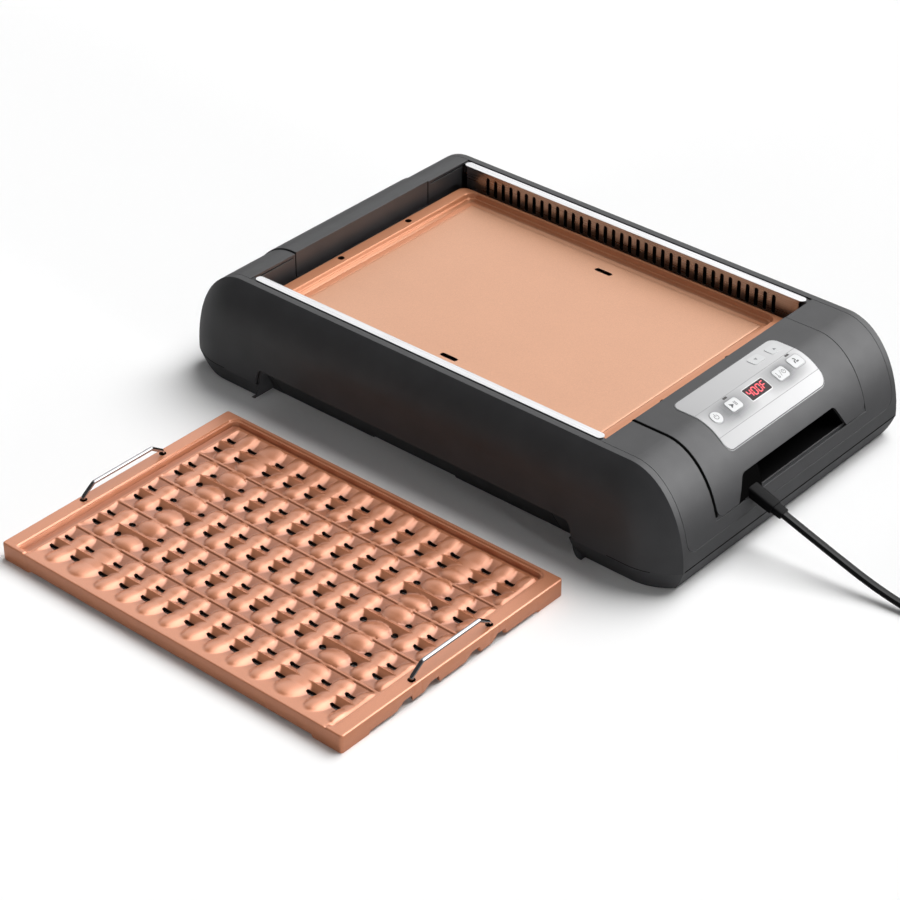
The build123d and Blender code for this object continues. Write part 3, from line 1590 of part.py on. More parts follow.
with BuildPart() as cord_coil:
    with BuildLine() as coil_line:
        start, start_dir = coil_state(0)
        Line(start - start_dir * cord_size, start)
        for quarter in range(1, total_quarters + 1):
            end, end_dir = coil_state(quarter)
            joint, joint_dir = biarc_joint(start, start_dir, end, end_dir)
            TangentArc(start, joint, tangent=start_dir)
            TangentArc(joint, end, tangent=joint_dir)
            start, start_dir = end, end_dir
        Line(start, start + start_dir * cord_size)
    with BuildSketch(Plane(origin=coil_line.line @ 0, z_dir=coil_line.line % 0)):
        Circle(cord_size / 2)
    sweep(path=coil_line.line)
coil_length = run_length(coil_line.line)
print("coil volume", round(cord_coil.part.volume), "section times length",
      round(math.pi * cord_size**2 / 4 * coil_length))
coil_points = [coil_line.line @ (n / coil_check_steps) for n in range(coil_check_steps + 1)]
step_length = coil_length / coil_check_steps
apart = int(coil_check_share * cord_size / step_length)
least = min(
    (coil_points[i] - coil_points[j]).length
    for i in range(coil_check_steps + 1)
    for j in range(i + apart, coil_check_steps + 1)
)
print("coil least gap to itself", round(least - cord_size, 2), "length", round(coil_length))
cord_coil.part.label = "cord_coil"
export_step(cord_coil.part, "parts/cord_coil.step")

# Tail: the last stretch, from the coil's upper layer down to the plug
coil_end = coil_line.line @ 1
plug_z = plug_thick / 2
tail_route = [
    tuple(coil_end),
    (coil_end.X + tail_length / 3, coil_end.Y, coil_end.Z),
    (coil_end.X + 2 * tail_length / 3, coil_end.Y, plug_z),
    (coil_end.X + tail_length, coil_end.Y, plug_z),
]
tail_radii = bend_radii(tail_route)
print("tail radii", [round(r, 1) for r in tail_radii])
with BuildPart() as cord_tail:
    with BuildLine() as tail_line:
        FilletPolyline(*tail_route, radius=tail_radii)
    with BuildSketch(Plane(origin=tail_line.line @ 0, z_dir=tail_line.line % 0)):
        Circle(cord_size / 2)
    sweep(path=tail_line.line)
cord_tail.part.label = "cord_tail"
export_step(cord_tail.part, "parts/cord_tail.step")

# Plug: a moulded grip with two flat blades
plug_plane = Plane(
    origin=(coil_end.X + tail_length, coil_end.Y, plug_z),
    x_dir=(0, 1, 0),
    z_dir=(1, 0, 0),
)
with BuildPart() as plug:
    with BuildSketch(plug_plane):
        RectangleRounded(plug_nose, plug_nose * 3 / 4, plug_corner)
    with BuildSketch(plug_plane.offset(plug_length / 2)):
        RectangleRounded(plug_width, plug_thick, plug_corner)
    loft()
    with BuildSketch(plug_plane.offset(plug_length / 2)):
        RectangleRounded(plug_width, plug_thick, plug_corner)
    extrude(amount=plug_length / 2)
    with BuildSketch(plug_plane.offset(plug_length)):
        with GridLocations(blade_pitch, 0, 2, 1):
            Rectangle(blade_thick, blade_width)
    extrude(amount=blade_length)
plug.part.label = "plug"
export_step(plug.part, "parts/plug.step")
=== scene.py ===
"""Looks for a smokeless indoor grill: its plates, cord, panel print and finishes, round the CAD model.

Lengths in the shape functions are millimetres, measured from the middle of the cooking well for
the body and from a plate's own middle for a plate. Meshes are stored in metres in the row frame.
"""
import math

import bpy
import numpy as np
from mathutils import Matrix, Vector
from mathutils.bvhtree import BVHTree


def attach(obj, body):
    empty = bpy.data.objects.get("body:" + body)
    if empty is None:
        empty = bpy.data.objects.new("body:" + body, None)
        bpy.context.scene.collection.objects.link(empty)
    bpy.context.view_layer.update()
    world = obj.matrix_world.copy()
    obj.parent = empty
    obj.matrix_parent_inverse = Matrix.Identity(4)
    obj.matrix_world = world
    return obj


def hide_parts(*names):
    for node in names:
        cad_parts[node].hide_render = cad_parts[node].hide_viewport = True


bl_info = {
    "name": "Indoor Grill Looks",
    "version": (1, 0, 0),
    "blender": (4, 5, 0),
    "location": "View3D > Sidebar > Grill",
    "description": "Builds the finished look of a smokeless indoor grill round its CAD model",
    "category": "Object",
}

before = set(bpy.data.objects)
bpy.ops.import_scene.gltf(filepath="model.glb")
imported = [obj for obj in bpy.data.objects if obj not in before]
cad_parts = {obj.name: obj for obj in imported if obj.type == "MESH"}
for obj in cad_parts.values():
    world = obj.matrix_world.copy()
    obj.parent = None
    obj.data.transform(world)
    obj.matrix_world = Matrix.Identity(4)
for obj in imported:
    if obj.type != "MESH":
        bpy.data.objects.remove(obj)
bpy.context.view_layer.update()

WELL = np.array([-14.25, 149.2, 0.0])
REST_PLATE = np.array([12.15, -192.2, 0.0])
GRIDDLE = np.array([-14.25, 149.2, 70.1])
MM = 0.001


# Mesh helpers

def add_mesh(name, points, quads, material, place=(0, 0, 0), smooth=40, triangles=()):
    """A mesh object from arrays: points (n, 3) in millimetres, quads (m, 4) and triangles (k, 3)."""
    points = (np.asarray(points, float) + np.asarray(place, float)) * MM
    quads = np.asarray(quads, np.int32).reshape(-1, 4)
    triangles = np.asarray(triangles, np.int32).reshape(-1, 3)
    mesh = bpy.data.meshes.new(name)
    mesh.vertices.add(len(points))
    mesh.vertices.foreach_set("co", points.astype(np.float32).ravel())
    loops = np.concatenate([quads.ravel(), triangles.ravel()])
    totals = np.concatenate([np.full(len(quads), 4), np.full(len(triangles), 3)]).astype(np.int32)
    mesh.loops.add(len(loops))
    mesh.loops.foreach_set("vertex_index", loops.astype(np.int32))
    mesh.polygons.add(len(totals))
    mesh.polygons.foreach_set("loop_start", (np.cumsum(totals) - totals).astype(np.int32))
    mesh.polygons.foreach_set("use_smooth", np.ones(len(totals), bool))
    mesh.update(calc_edges=True)
    mesh.validate()
    mesh.set_sharp_from_angle(angle=math.radians(smooth))
    mesh.materials.append(material)
    made = bpy.data.objects.new(name, mesh)
    bpy.context.scene.collection.objects.link(made)
    return made


def grid_quads(rows, columns, wrap=False):
    """Quads over a rows by columns grid of points, row after row; wrap joins the last column to the first."""
    i = np.arange(rows - 1)[:, None]
    j = np.arange(columns if wrap else columns - 1)[None, :]
    k = (j + 1) % columns
    a, b, c, d = i * columns + j, i * columns + k, (i + 1) * columns + k, (i + 1) * columns + j
    return np.stack([a + 0 * d, b + 0 * d, c, d], axis=-1).reshape(-1, 4)


def superellipse(count, half_wide, half_high, power):
    """A closed section: each point lies where |x/half_wide|^power + |y/half_high|^power is one."""
    turn = np.linspace(0, 2 * np.pi, count, endpoint=False)
    x = np.sign(np.cos(turn)) * np.abs(np.cos(turn)) ** (2 / power) * half_wide
    y = np.sign(np.sin(turn)) * np.abs(np.sin(turn)) ** (2 / power) * half_high
    return x, y


def path_frames(path, up):
    """Direction, side and top of a path at each point: side is level, across the path and up."""
    ahead = np.gradient(path, axis=0)
    ahead /= np.linalg.norm(ahead, axis=1, keepdims=True)
    side = np.cross(ahead, up)
    side /= np.linalg.norm(side, axis=1, keepdims=True)
    return ahead, side, np.cross(side, ahead)


def carried(path, sections, up=(0, 0, 1)):
    """Points of sections carried along a path: path point plus x times its side plus y times its top."""
    _, side, top = path_frames(path, np.asarray(up, float))
    x, y = sections
    return path[:, None, :] + x[..., None] * side[:, None, :] + y[..., None] * top[:, None, :]


def closed_tube(path, sections, up=(0, 0, 1)):
    """A tube with a fan at each end: sections carried along the path, each end drawn to its centre."""
    body = carried(path, sections, up)
    rows, columns = body.shape[:2]
    points = np.concatenate([body.reshape(-1, 3), path[:1], path[-1:]])
    quads = grid_quads(rows, columns, wrap=True)[:, ::-1]
    j = np.arange(columns)
    k = (j + 1) % columns
    first, last = rows * columns, rows * columns + 1
    near = np.stack([k * 0 + first, k, j], axis=-1)
    far = np.stack([k * 0 + last, (rows - 1) * columns + j, (rows - 1) * columns + k], axis=-1)
    return points, quads, np.concatenate([near, far])[:, ::-1]


def outward(thing):
    """Turns a closed mesh's faces to the outside."""
    mesh = thing.data
    co = np.zeros(len(mesh.vertices) * 3, np.float32)
    mesh.vertices.foreach_get("co", co)
    co = co.reshape(-1, 3)
    mesh.calc_loop_triangles()
    tri = np.zeros(len(mesh.loop_triangles) * 3, np.int32)
    mesh.loop_triangles.foreach_get("vertices", tri)
    a, b, c = (co[tri.reshape(-1, 3)[:, n]] for n in range(3))
    middle = co.mean(axis=0)
    volume = np.einsum("ij,ij->i", a - middle, np.cross(b - middle, c - middle)).sum()
    if volume < 0:
        mesh.flip_normals()
    return thing


def face_up(thing):
    """Turns a thin print's faces to the sky."""
    normals = np.zeros(len(thing.data.polygons) * 3, np.float32)
    thing.data.polygons.foreach_get("normal", normals)
    if normals.reshape(-1, 3)[:, 2].sum() < 0:
        thing.data.flip_normals()
    return thing


def adopt(made, body, slot, *replaced):
    """Says which body a piece rides on and hides the CAD nodes it stands for; slot is not used."""
    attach(made, body)
    if replaced:
        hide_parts(*replaced)


def marked(name, shape, material):
    """Adds a mark on the housing from its (points, quads)."""
    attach(add_mesh(name, *shape, material), "body")


# Material helpers

def finish(name, colour, roughness=0.5, metallic=0.0, **sockets):
    """A material whose even values sit on the shader's own sockets."""
    made = bpy.data.materials.new(name)
    made.use_nodes = True
    shader = made.node_tree.nodes["Principled BSDF"]
    shader.inputs["Base Color"].default_value = (*colour, 1)
    shader.inputs["Roughness"].default_value = roughness
    shader.inputs["Metallic"].default_value = metallic
    for key, value in sockets.items():
        shader.inputs[key.replace("_", " ")].default_value = value
    return made


def wire_up(material, kind, **inputs):
    """A node of that kind in the material, with its inputs set or linked by socket name."""
    tree = material.node_tree
    node = tree.nodes.new(kind)
    for key, value in inputs.items():
        socket = node.inputs[int(key[1:])] if key[0] == "i" and key[1:].isdigit() else node.inputs[key]
        if isinstance(value, bpy.types.NodeSocket):
            tree.links.new(value, socket)
        else:
            socket.default_value = value
    return node


def object_point(material, scale=(1, 1, 1)):
    """Object coordinates, stretched by scale."""
    point = wire_up(material, "ShaderNodeTexCoord").outputs["Object"]
    return wire_up(material, "ShaderNodeMapping", Vector=point, Scale=scale).outputs["Vector"]


def grain(material, scale, detail=3.0, stretch=(1, 1, 1), roughness=0.55):
    """Noise of that many cells to the metre, from nought to one."""
    point = object_point(material, stretch)
    made = wire_up(material, "ShaderNodeTexNoise", Vector=point, Scale=scale, Detail=detail)
    made.inputs["Roughness"].default_value = roughness
    return made.outputs["Fac"]


def ramp(material, value, stops):
    """A colour that follows value through stops of (place, colour)."""
    made = wire_up(material, "ShaderNodeValToRGB", Fac=value)
    steps = made.color_ramp.elements
    while len(steps) < len(stops):
        steps.new(0.5)
    for step, (place, colour) in zip(steps, stops):
        step.position = place
        step.color = (*colour, 1)
    return made.outputs["Color"]


def span(material, value, low, high):
    """Value spread from low to high as it goes from nought to one."""
    made = wire_up(material, "ShaderNodeMapRange", Value=value)
    made.inputs["To Min"].default_value = low
    made.inputs["To Max"].default_value = high
    return made.outputs["Result"]


def calc(material, operation, a, b=0.0):
    """One sum of two values."""
    made = wire_up(material, "ShaderNodeMath", i0=a, i1=b)
    made.operation = operation
    return made.outputs["Value"]


def drive(material, socket, value):
    """Links a value to one of the shader's sockets."""
    shader = material.node_tree.nodes["Principled BSDF"]
    material.node_tree.links.new(value, shader.inputs[socket])


def relief(material, height, strength, depth, soften=0.0):
    """Bump from a height, over edges softened to a radius in metres."""
    made = wire_up(material, "ShaderNodeBump", Height=height, Strength=strength, Distance=depth)
    if soften:
        edge = wire_up(material, "ShaderNodeBevel", Radius=soften)
        edge.samples = 4
        material.node_tree.links.new(edge.outputs["Normal"], made.inputs["Normal"])
    drive(material, "Normal", made.outputs["Normal"])


def grained(name, colour, gloss, scale, detail=2.0, metallic=0.0, **sockets):
    """A material whose roughness wanders between the two values of gloss, with a grain of that scale."""
    made = finish(name, colour, gloss[0], metallic, **sockets)
    drive(made, "Roughness", span(made, grain(made, scale, detail), *gloss))
    return made


def faded(material, value, low, high):
    """Nought below low, one above high and a smooth S between."""
    made = wire_up(material, "ShaderNodeMapRange", **{"Value": value, "From Min": low, "From Max": high})
    made.interpolation_type = "SMOOTHSTEP"
    return made.outputs["Result"]


def tinted(colour, share):
    """A colour made lighter or darker by a share."""
    return tuple(min(1.0, c * share) for c in colour)


# Finishes

# the control end: a quarter ellipse from the shoulder, with its half axes and its foot's height
SHOULDER = 227.0
POD_REACH = 56.0
POD_RISE = 84.0
POD_BASE = 20.0
BAND_X = (228.5, 253.8)


def well_place(material):
    """Sockets of x, y and z in millimetres, x and y from the middle of the well."""
    where = wire_up(material, "ShaderNodeSeparateXYZ", Vector=object_point(material, (1000, 1000, 1000)))
    x, y = (calc(material, "SUBTRACT", where.outputs[n], float(WELL[n])) for n in range(2))
    return x, y, where.outputs["Z"]


def recess_shade_mask(material):
    """The mask of the painted shade in the hand recesses: one inside the two recesses, nought elsewhere:
    places more than 3 mm within the quarter ellipse of either end, beyond 236 mm from the well's middle,
    from 24 to 76 mm up and within 90 mm of the centre line."""
    x, y, z = well_place(material)
    x, y = calc(material, "ABSOLUTE", x), calc(material, "ABSOLUTE", y)
    squares = []
    for value, start, reach in ((x, SHOULDER, POD_REACH - 3.0), (z, POD_BASE, POD_RISE - 3.0)):
        share = calc(material, "DIVIDE", calc(material, "SUBTRACT", value, start), reach)
        squares.append(calc(material, "POWER", share, 2.0))
    within = calc(material, "LESS_THAN", calc(material, "ADD", *squares), 1.0)
    for test, value, limit in (("GREATER_THAN", x, 236.0), ("LESS_THAN", z, 76.0),
                               ("GREATER_THAN", z, 24.0), ("LESS_THAN", y, 90.0)):
        within = calc(material, "MULTIPLY", within, calc(material, test, value, limit))
    return within


def moulded_plastic(name, colour, roughness, soften=0.0006, shade_recesses=False):
    """Moulded plastic: a fine spark-eroded grain and faint cloudiness in its gloss; with its last switch
    on, painted shade darkens the inside of the hand recesses and takes most of their reflection away."""
    made = finish(name, colour, roughness, Specular_IOR_Level=0.45)
    cloud = grain(made, 35.0, 2.0)
    if shade_recesses:
        # painted shade: inside the hand recesses the colour goes near black and the reflection nearly goes
        dark = recess_shade_mask(made)
        cloud = calc(made, "SUBTRACT", cloud, dark)
        drive(made, "Specular IOR Level", span(made, dark, 0.45, 0.03))
    drive(made, "Base Color", ramp(made, cloud, [(0.0, tinted(colour, 0.12)), (0.25, tinted(colour, 0.86)),
                                                 (0.75, tinted(colour, 1.14))]))
    drive(made, "Roughness", span(made, grain(made, 60.0, 3.0), roughness - 0.05, roughness + 0.06))
    relief(made, grain(made, 2600.0, 2.0), 0.16, 0.00012, soften)
    return made


def copper_coat(name, colour, hollow_colour, roughness, metallic, gloss):
    """Satin copper-coloured ceramic coat with fine flakes that sparkle: hollow_colour where the mesh's
    own value "hollow" is one, colour where it is nought; on the grill plate the darker hollow colour is
    painted shade in the deep valleys and round the slots. gloss is the weight of the clear layer."""
    made = finish(name, colour, roughness, metallic, Specular_IOR_Level=0.5, Coat_Weight=gloss,
                  Coat_IOR=1.8, Coat_Roughness=0.3)
    flakes = wire_up(made, "ShaderNodeTexVoronoi", Vector=object_point(made), Scale=2400.0)
    cloud = grain(made, 14.0, 3.0)
    tone = calc(made, "ADD", calc(made, "MULTIPLY", flakes.outputs["Color"], 0.7),
                calc(made, "MULTIPLY", cloud, 0.3))
    upper = ramp(made, tone, [(0.2, tinted(colour, 0.93)), (0.8, tinted(colour, 1.06))])
    lower = ramp(made, tone, [(0.2, tinted(hollow_colour, 0.9)), (0.8, tinted(hollow_colour, 1.08))])
    hollow = made.node_tree.nodes.new("ShaderNodeAttribute")
    hollow.attribute_name = "hollow"
    both = made.node_tree.nodes.new("ShaderNodeMix")
    both.data_type = "RGBA"
    for socket, value in ((0, hollow.outputs["Fac"]), (6, upper), (7, lower)):
        made.node_tree.links.new(value, both.inputs[socket])
    drive(made, "Base Color", both.outputs[2])
    drive(made, "Roughness", span(made, flakes.outputs["Color"], roughness - 0.05, roughness + 0.07))
    relief(made, grain(made, 1500.0, 2.0), 0.08, 0.0001, 0.0003)
    return made


def shaded_hole(name):
    """Painted shade on the walls of a punched hole: near black, for the dark seen down through it."""
    return grained(name, (0.03, 0.014, 0.01), (0.5, 0.7), 900.0)


def brushed_steel(name, colour, roughness, scale=900.0, stretch=(0.03, 1, 1)):
    """Sheet steel brushed along its length: long streaks in its gloss and tone."""
    made = finish(name, colour, roughness, 1.0)
    streak = grain(made, scale, 4.0, stretch)
    drive(made, "Base Color", ramp(made, streak, [(0.3, tinted(colour, 0.86)), (0.7, tinted(colour, 1.06))]))
    drive(made, "Roughness", span(made, streak, roughness - 0.06, roughness + 0.1))
    relief(made, streak, 0.06, 0.0001, 0.0003)
    return made


def plain_metal(name, colour, roughness, metallic=1.0, scale=400.0):
    """Metal with a mottled tone and gloss."""
    made = finish(name, colour, roughness, metallic)
    mottle = grain(made, scale, 3.0)
    drive(made, "Base Color", ramp(made, mottle, [(0.3, tinted(colour, 0.8)), (0.7, tinted(colour, 1.08))]))
    drive(made, "Roughness", span(made, mottle, roughness - 0.05, roughness + 0.08))
    relief(made, mottle, 0.05, 0.0001)
    return made


def panel_film(name):
    """The printed panel: light film with a darker brushed band between its two dividing lines.

    The band lies between two x places; in it the tone falls toward the keys on both sides of the
    display, and fine lines cross it both ways. Over the whole film painted shading darkens the tone
    toward the near side and lightens it toward the far side."""
    made = finish(name, (0.53, 0.53, 0.535), 0.36, 0.0, Specular_IOR_Level=0.3)
    x, y, _ = well_place(made)
    low, high = BAND_X
    inside = calc(made, "MULTIPLY", calc(made, "GREATER_THAN", x, low), calc(made, "LESS_THAN", x, high))
    off = calc(made, "SUBTRACT", calc(made, "ABSOLUTE", calc(made, "ADD", y, 1.0)), 36.0)
    near = calc(made, "SUBTRACT", 1.0, calc(made, "DIVIDE", calc(made, "ABSOLUTE", off), 30.0))
    across_band = calc(made, "DIVIDE", calc(made, "SUBTRACT", x, low), high - low)
    hump = calc(made, "SINE", calc(made, "MULTIPLY", across_band, math.pi))
    dark = calc(made, "MULTIPLY", calc(made, "MULTIPLY", inside, calc(made, "MAXIMUM", near, 0.0)), hump)
    lines = grain(made, 1.0, 2.0, (60, 2600, 1))
    cross = grain(made, 1.0, 2.0, (2600, 60, 1))
    weave = calc(made, "MULTIPLY", calc(made, "ADD", lines, cross), 0.5)
    shade = calc(made, "MULTIPLY", dark, calc(made, "ADD", calc(made, "MULTIPLY", weave, 0.9), 0.35))
    # painted shading: darker toward the near side, lighter toward the far side
    shade = calc(made, "ADD", shade, calc(made, "SUBTRACT", 0.1, calc(made, "MULTIPLY", y, 0.0014)))
    drive(made, "Base Color", ramp(made, shade, [(0.0, (0.64, 0.64, 0.645)), (0.2, (0.44, 0.44, 0.445)),
                                                 (0.74, (0.14, 0.142, 0.148))]))
    drive(made, "Roughness", span(made, weave, 0.28, 0.4))
    return made


def glow(name, colour, strength):
    """A lit segment: light of one colour with a faint unevenness."""
    made = finish(name, colour, 0.4)
    shader = made.node_tree.nodes["Principled BSDF"]
    shader.inputs["Emission Color"].default_value = (*colour, 1)
    drive(made, "Emission Strength", span(made, grain(made, 700.0, 2.0), 0.85 * strength, 1.1 * strength))
    return made


# Settings that a user would change

class GrillSettings(bpy.types.PropertyGroup):
    """Sizes and colours of the grill's finished look."""

    plate_colour: bpy.props.FloatVectorProperty(
        name="Grill plate", description="Copper tone of the embossed plate", subtype="COLOR",
        default=(0.54, 0.205, 0.10), min=0, max=1)
    griddle_colour: bpy.props.FloatVectorProperty(
        name="Griddle", description="Copper tone of the flat plate in the well", subtype="COLOR",
        default=(0.585, 0.305, 0.185), min=0, max=1)
    plastic_colour: bpy.props.FloatVectorProperty(
        name="Housing", description="Colour of the moulded housing", subtype="COLOR",
        default=(0.025, 0.025, 0.0265), min=0, max=1)
    digit_colour: bpy.props.FloatVectorProperty(
        name="Digits", description="Colour of the lit digits", subtype="COLOR",
        default=(0.95, 0.075, 0.10), min=0, max=1)
    grid_step: bpy.props.FloatProperty(
        name="Mesh step", description="Longest side of a face on the plates", unit="LENGTH",
        default=0.00125, min=0.0006, max=0.005)
    cord_width: bpy.props.FloatProperty(
        name="Cord width", description="Width of the flat twin cord", unit="LENGTH",
        default=0.0080, min=0.005, max=0.012)
    cord_thickness: bpy.props.FloatProperty(
        name="Cord thickness", description="Thickness of the flat twin cord", unit="LENGTH",
        default=0.0050, min=0.003, max=0.008)
    dome_rise: bpy.props.FloatProperty(
        name="Leaf rise", description="Height of each embossed leaf over the slot rows",
        unit="LENGTH", default=0.0038, min=0.001, max=0.0045)
    line_width: bpy.props.FloatProperty(
        name="Print width", description="Width of the thin lines printed on the panel",
        unit="LENGTH", default=0.00035, min=0.0001, max=0.001)


def settings():
    """The scene's grill settings."""
    return bpy.context.scene.grill_looks


# Camera, floor and light

# azimuth, elevation and roll in degrees, then the target in millimetres and the distance in metres
CAMERA_TURN = (40.752, 33.857, 0.149)
CAMERA_TARGET = (-4.25, 33.4, 0)
CAMERA_DISTANCE = 2.320
CAMERA_LENS = 2721.0 / 900.0 * 36.0
# each sun's name, strength, direction and spread in degrees
LAMPS = (
    ("rear_softbox", 3.35, (-0.12, -0.49, -0.86), 48),
    ("low_front_card", 1.0, (0.15, 0.97, -0.08), 30),
    ("right_card", 1.5, (-0.98, 0.1, -0.07), 8),
)
# bright patches that only mirrors see: direction, cosines where each starts and is full, strength
MIRRORED_BOXES = (((0.21, 0.63, 0.75), 0.78, 0.95, 3.4), ((0.70, 0.64, 0.32), 0.90, 0.985, 5.0))
AMBIENT = 0.09


class GRILL_OT_stage(bpy.types.Operator):
    """Adds the camera, the pale floor, the lamps and the white surround"""

    bl_idname = "grill.stage"
    bl_label = "Camera, Floor and Light"

    def execute(self, context):
        scene = context.scene
        scene.view_settings.view_transform = "Standard"
        azimuth, elevation, roll = (math.radians(a) for a in CAMERA_TURN)
        level = math.cos(elevation)
        ahead = Vector((-math.sin(azimuth) * level, math.cos(azimuth) * level, -math.sin(elevation)))
        level_right = Vector((math.cos(azimuth), math.sin(azimuth), 0))
        level_up = level_right.cross(ahead)
        right = level_right * math.cos(roll) + level_up * math.sin(roll)
        up = level_up * math.cos(roll) - level_right * math.sin(roll)
        target = Vector(CAMERA_TARGET) * MM
        camera = bpy.data.objects.new("grill_camera", bpy.data.cameras.new("grill_camera"))
        camera.data.sensor_width = 36.0
        camera.data.sensor_fit = "HORIZONTAL"
        camera.data.lens = CAMERA_LENS
        camera.data.clip_end = 20.0
        turn = Matrix((right, up, -ahead)).transposed().to_4x4()
        camera.matrix_world = Matrix.Translation(target - ahead * CAMERA_DISTANCE) @ turn
        scene.collection.objects.link(camera)
        scene.camera = camera

        floor_finish = finish("floor_white", (0.93, 0.93, 0.93), 0.9)
        tree = floor_finish.node_tree
        shader = tree.nodes["Principled BSDF"]
        shader.inputs["Specular IOR Level"].default_value = 0.0
        rays = wire_up(floor_finish, "ShaderNodeLightPath")
        seen, mirrored = rays.outputs["Is Camera Ray"], rays.outputs["Is Glossy Ray"]
        drive(floor_finish, "Base Color", span(floor_finish, mirrored, 0.93, 0.42))
        lift = calc(floor_finish, "MULTIPLY", seen, 0.015)
        shader.inputs["Emission Color"].default_value = (1, 1, 1, 1)
        tree.links.new(lift, shader.inputs["Emission Strength"])
        u = np.linspace(-6000, 6000, 13)
        x, y = np.meshgrid(u, u, indexing="ij")
        points = np.stack([x.ravel(), y.ravel(), np.full(x.size, -0.05)], axis=-1)
        floor = add_mesh("floor", points, grid_quads(13, 13)[:, ::-1], floor_finish)
        face_up(floor)

        for name, energy, aim, spread in LAMPS:
            data = bpy.data.lights.new(name, "SUN")
            data.energy = energy
            data.angle = math.radians(spread)
            lamp = bpy.data.objects.new(name, data)
            lamp.matrix_world = Vector(aim).to_track_quat("-Z", "Y").to_matrix().to_4x4()
            scene.collection.objects.link(lamp)
            lamp.visible_glossy = False

        world = bpy.data.worlds.new("white_surround")
        scene.world = world
        world.use_nodes = True
        path = wire_up(world, "ShaderNodeLightPath").outputs
        around = wire_up(world, "ShaderNodeTexCoord").outputs["Generated"]
        apart = wire_up(world, "ShaderNodeSeparateXYZ", Vector=around).outputs

        # mirrored: bright behind the grill, dark overhead and in front
        behind = faded(world, apart["Y"], -0.15, 0.6)
        behind = calc(world, "MULTIPLY", behind, faded(world, apart["Z"], 0.08, 0.34))
        below = calc(world, "SUBTRACT", 1.0, faded(world, apart["Z"], 0.62, 0.92))
        mirrored = calc(world, "MULTIPLY", calc(world, "MULTIPLY", behind, below), 1.45)
        mirrored = calc(world, "ADD", mirrored, 0.12)
        for aim, low, high, share in MIRRORED_BOXES:
            toward = wire_up(world, "ShaderNodeVectorMath", i0=around, i1=aim)
            toward.operation = "DOT_PRODUCT"
            box = faded(world, toward.outputs["Value"], low, high)
            mirrored = calc(world, "ADD", mirrored, calc(world, "MULTIPLY", box, share))
        clear = calc(world, "MAXIMUM", path["Is Camera Ray"], path["Is Transmission Ray"])
        soft = calc(world, "MAXIMUM", clear, AMBIENT)
        glossy = path["Is Glossy Ray"]
        plain = calc(world, "MULTIPLY", calc(world, "SUBTRACT", 1.0, glossy), soft)
        strength = calc(world, "ADD", calc(world, "MULTIPLY", glossy, mirrored), plain)
        back = world.node_tree.nodes["Background"]
        world.node_tree.links.new(strength, back.inputs["Strength"])
        back.inputs["Color"].default_value = (1, 1, 1, 1)
        return {"FINISHED"}


# The mains cord

CORD_ROUTE = [
    (0.29575, 0.0942, 0.03927),
    (0.34055, 0.0942, 0.02440),
    (0.38975, 0.0948, 0.0086),
    (0.43475, 0.0942, 0.0030),
    (0.47925, 0.0942, 0.0025),
]
COIL_CENTRE = (0.48675, 0.1392)
TAIL_ROUTE = [
    (0.51425, 0.0942, 0.0076),
    (0.53425, 0.0942, 0.0074),
    (0.55425, 0.0942, 0.0075),
]


def coil_route():
    """Points of the coil: round its centre, drawing in to the reversal, up a layer and out again."""
    quarter = np.linspace(0, 12, 49)
    radius = 0.0455 - 0.0081 * (6 - np.abs(quarter - 6)) / 4
    climb = np.clip(quarter - 5, 0, 2)
    lift = 0.0026 + 0.0050 * (1 - np.cos(math.pi * climb / 2)) / 2
    turn = np.radians(90 * quarter - 90)
    x = COIL_CENTRE[0] + radius * np.cos(turn)
    y = COIL_CENTRE[1] + radius * np.sin(turn)
    return [tuple(p) for p in np.stack([x, y, lift], axis=-1)]


def soft_vinyl(name, colour, gloss, scale, fine, shine):
    """Black cord jacket or sleeve: a cloudy gloss and a fine grain."""
    made = grained(name, colour, gloss, scale, 3.0, Specular_IOR_Level=shine)
    relief(made, grain(made, fine, 2.0), 0.1, 0.0001)
    return made


def bar(name, path, wide, high, power, count, material):
    """A bar along a path: a superellipse of that power, wide and high its half sizes at each point."""
    x, y = superellipse(count, 1.0, 1.0, power)
    points, quads, fans = closed_tube(path, (wide[:, None] * x, high[:, None] * y))
    return outward(add_mesh(name, points, quads, material, triangles=fans, smooth=35))


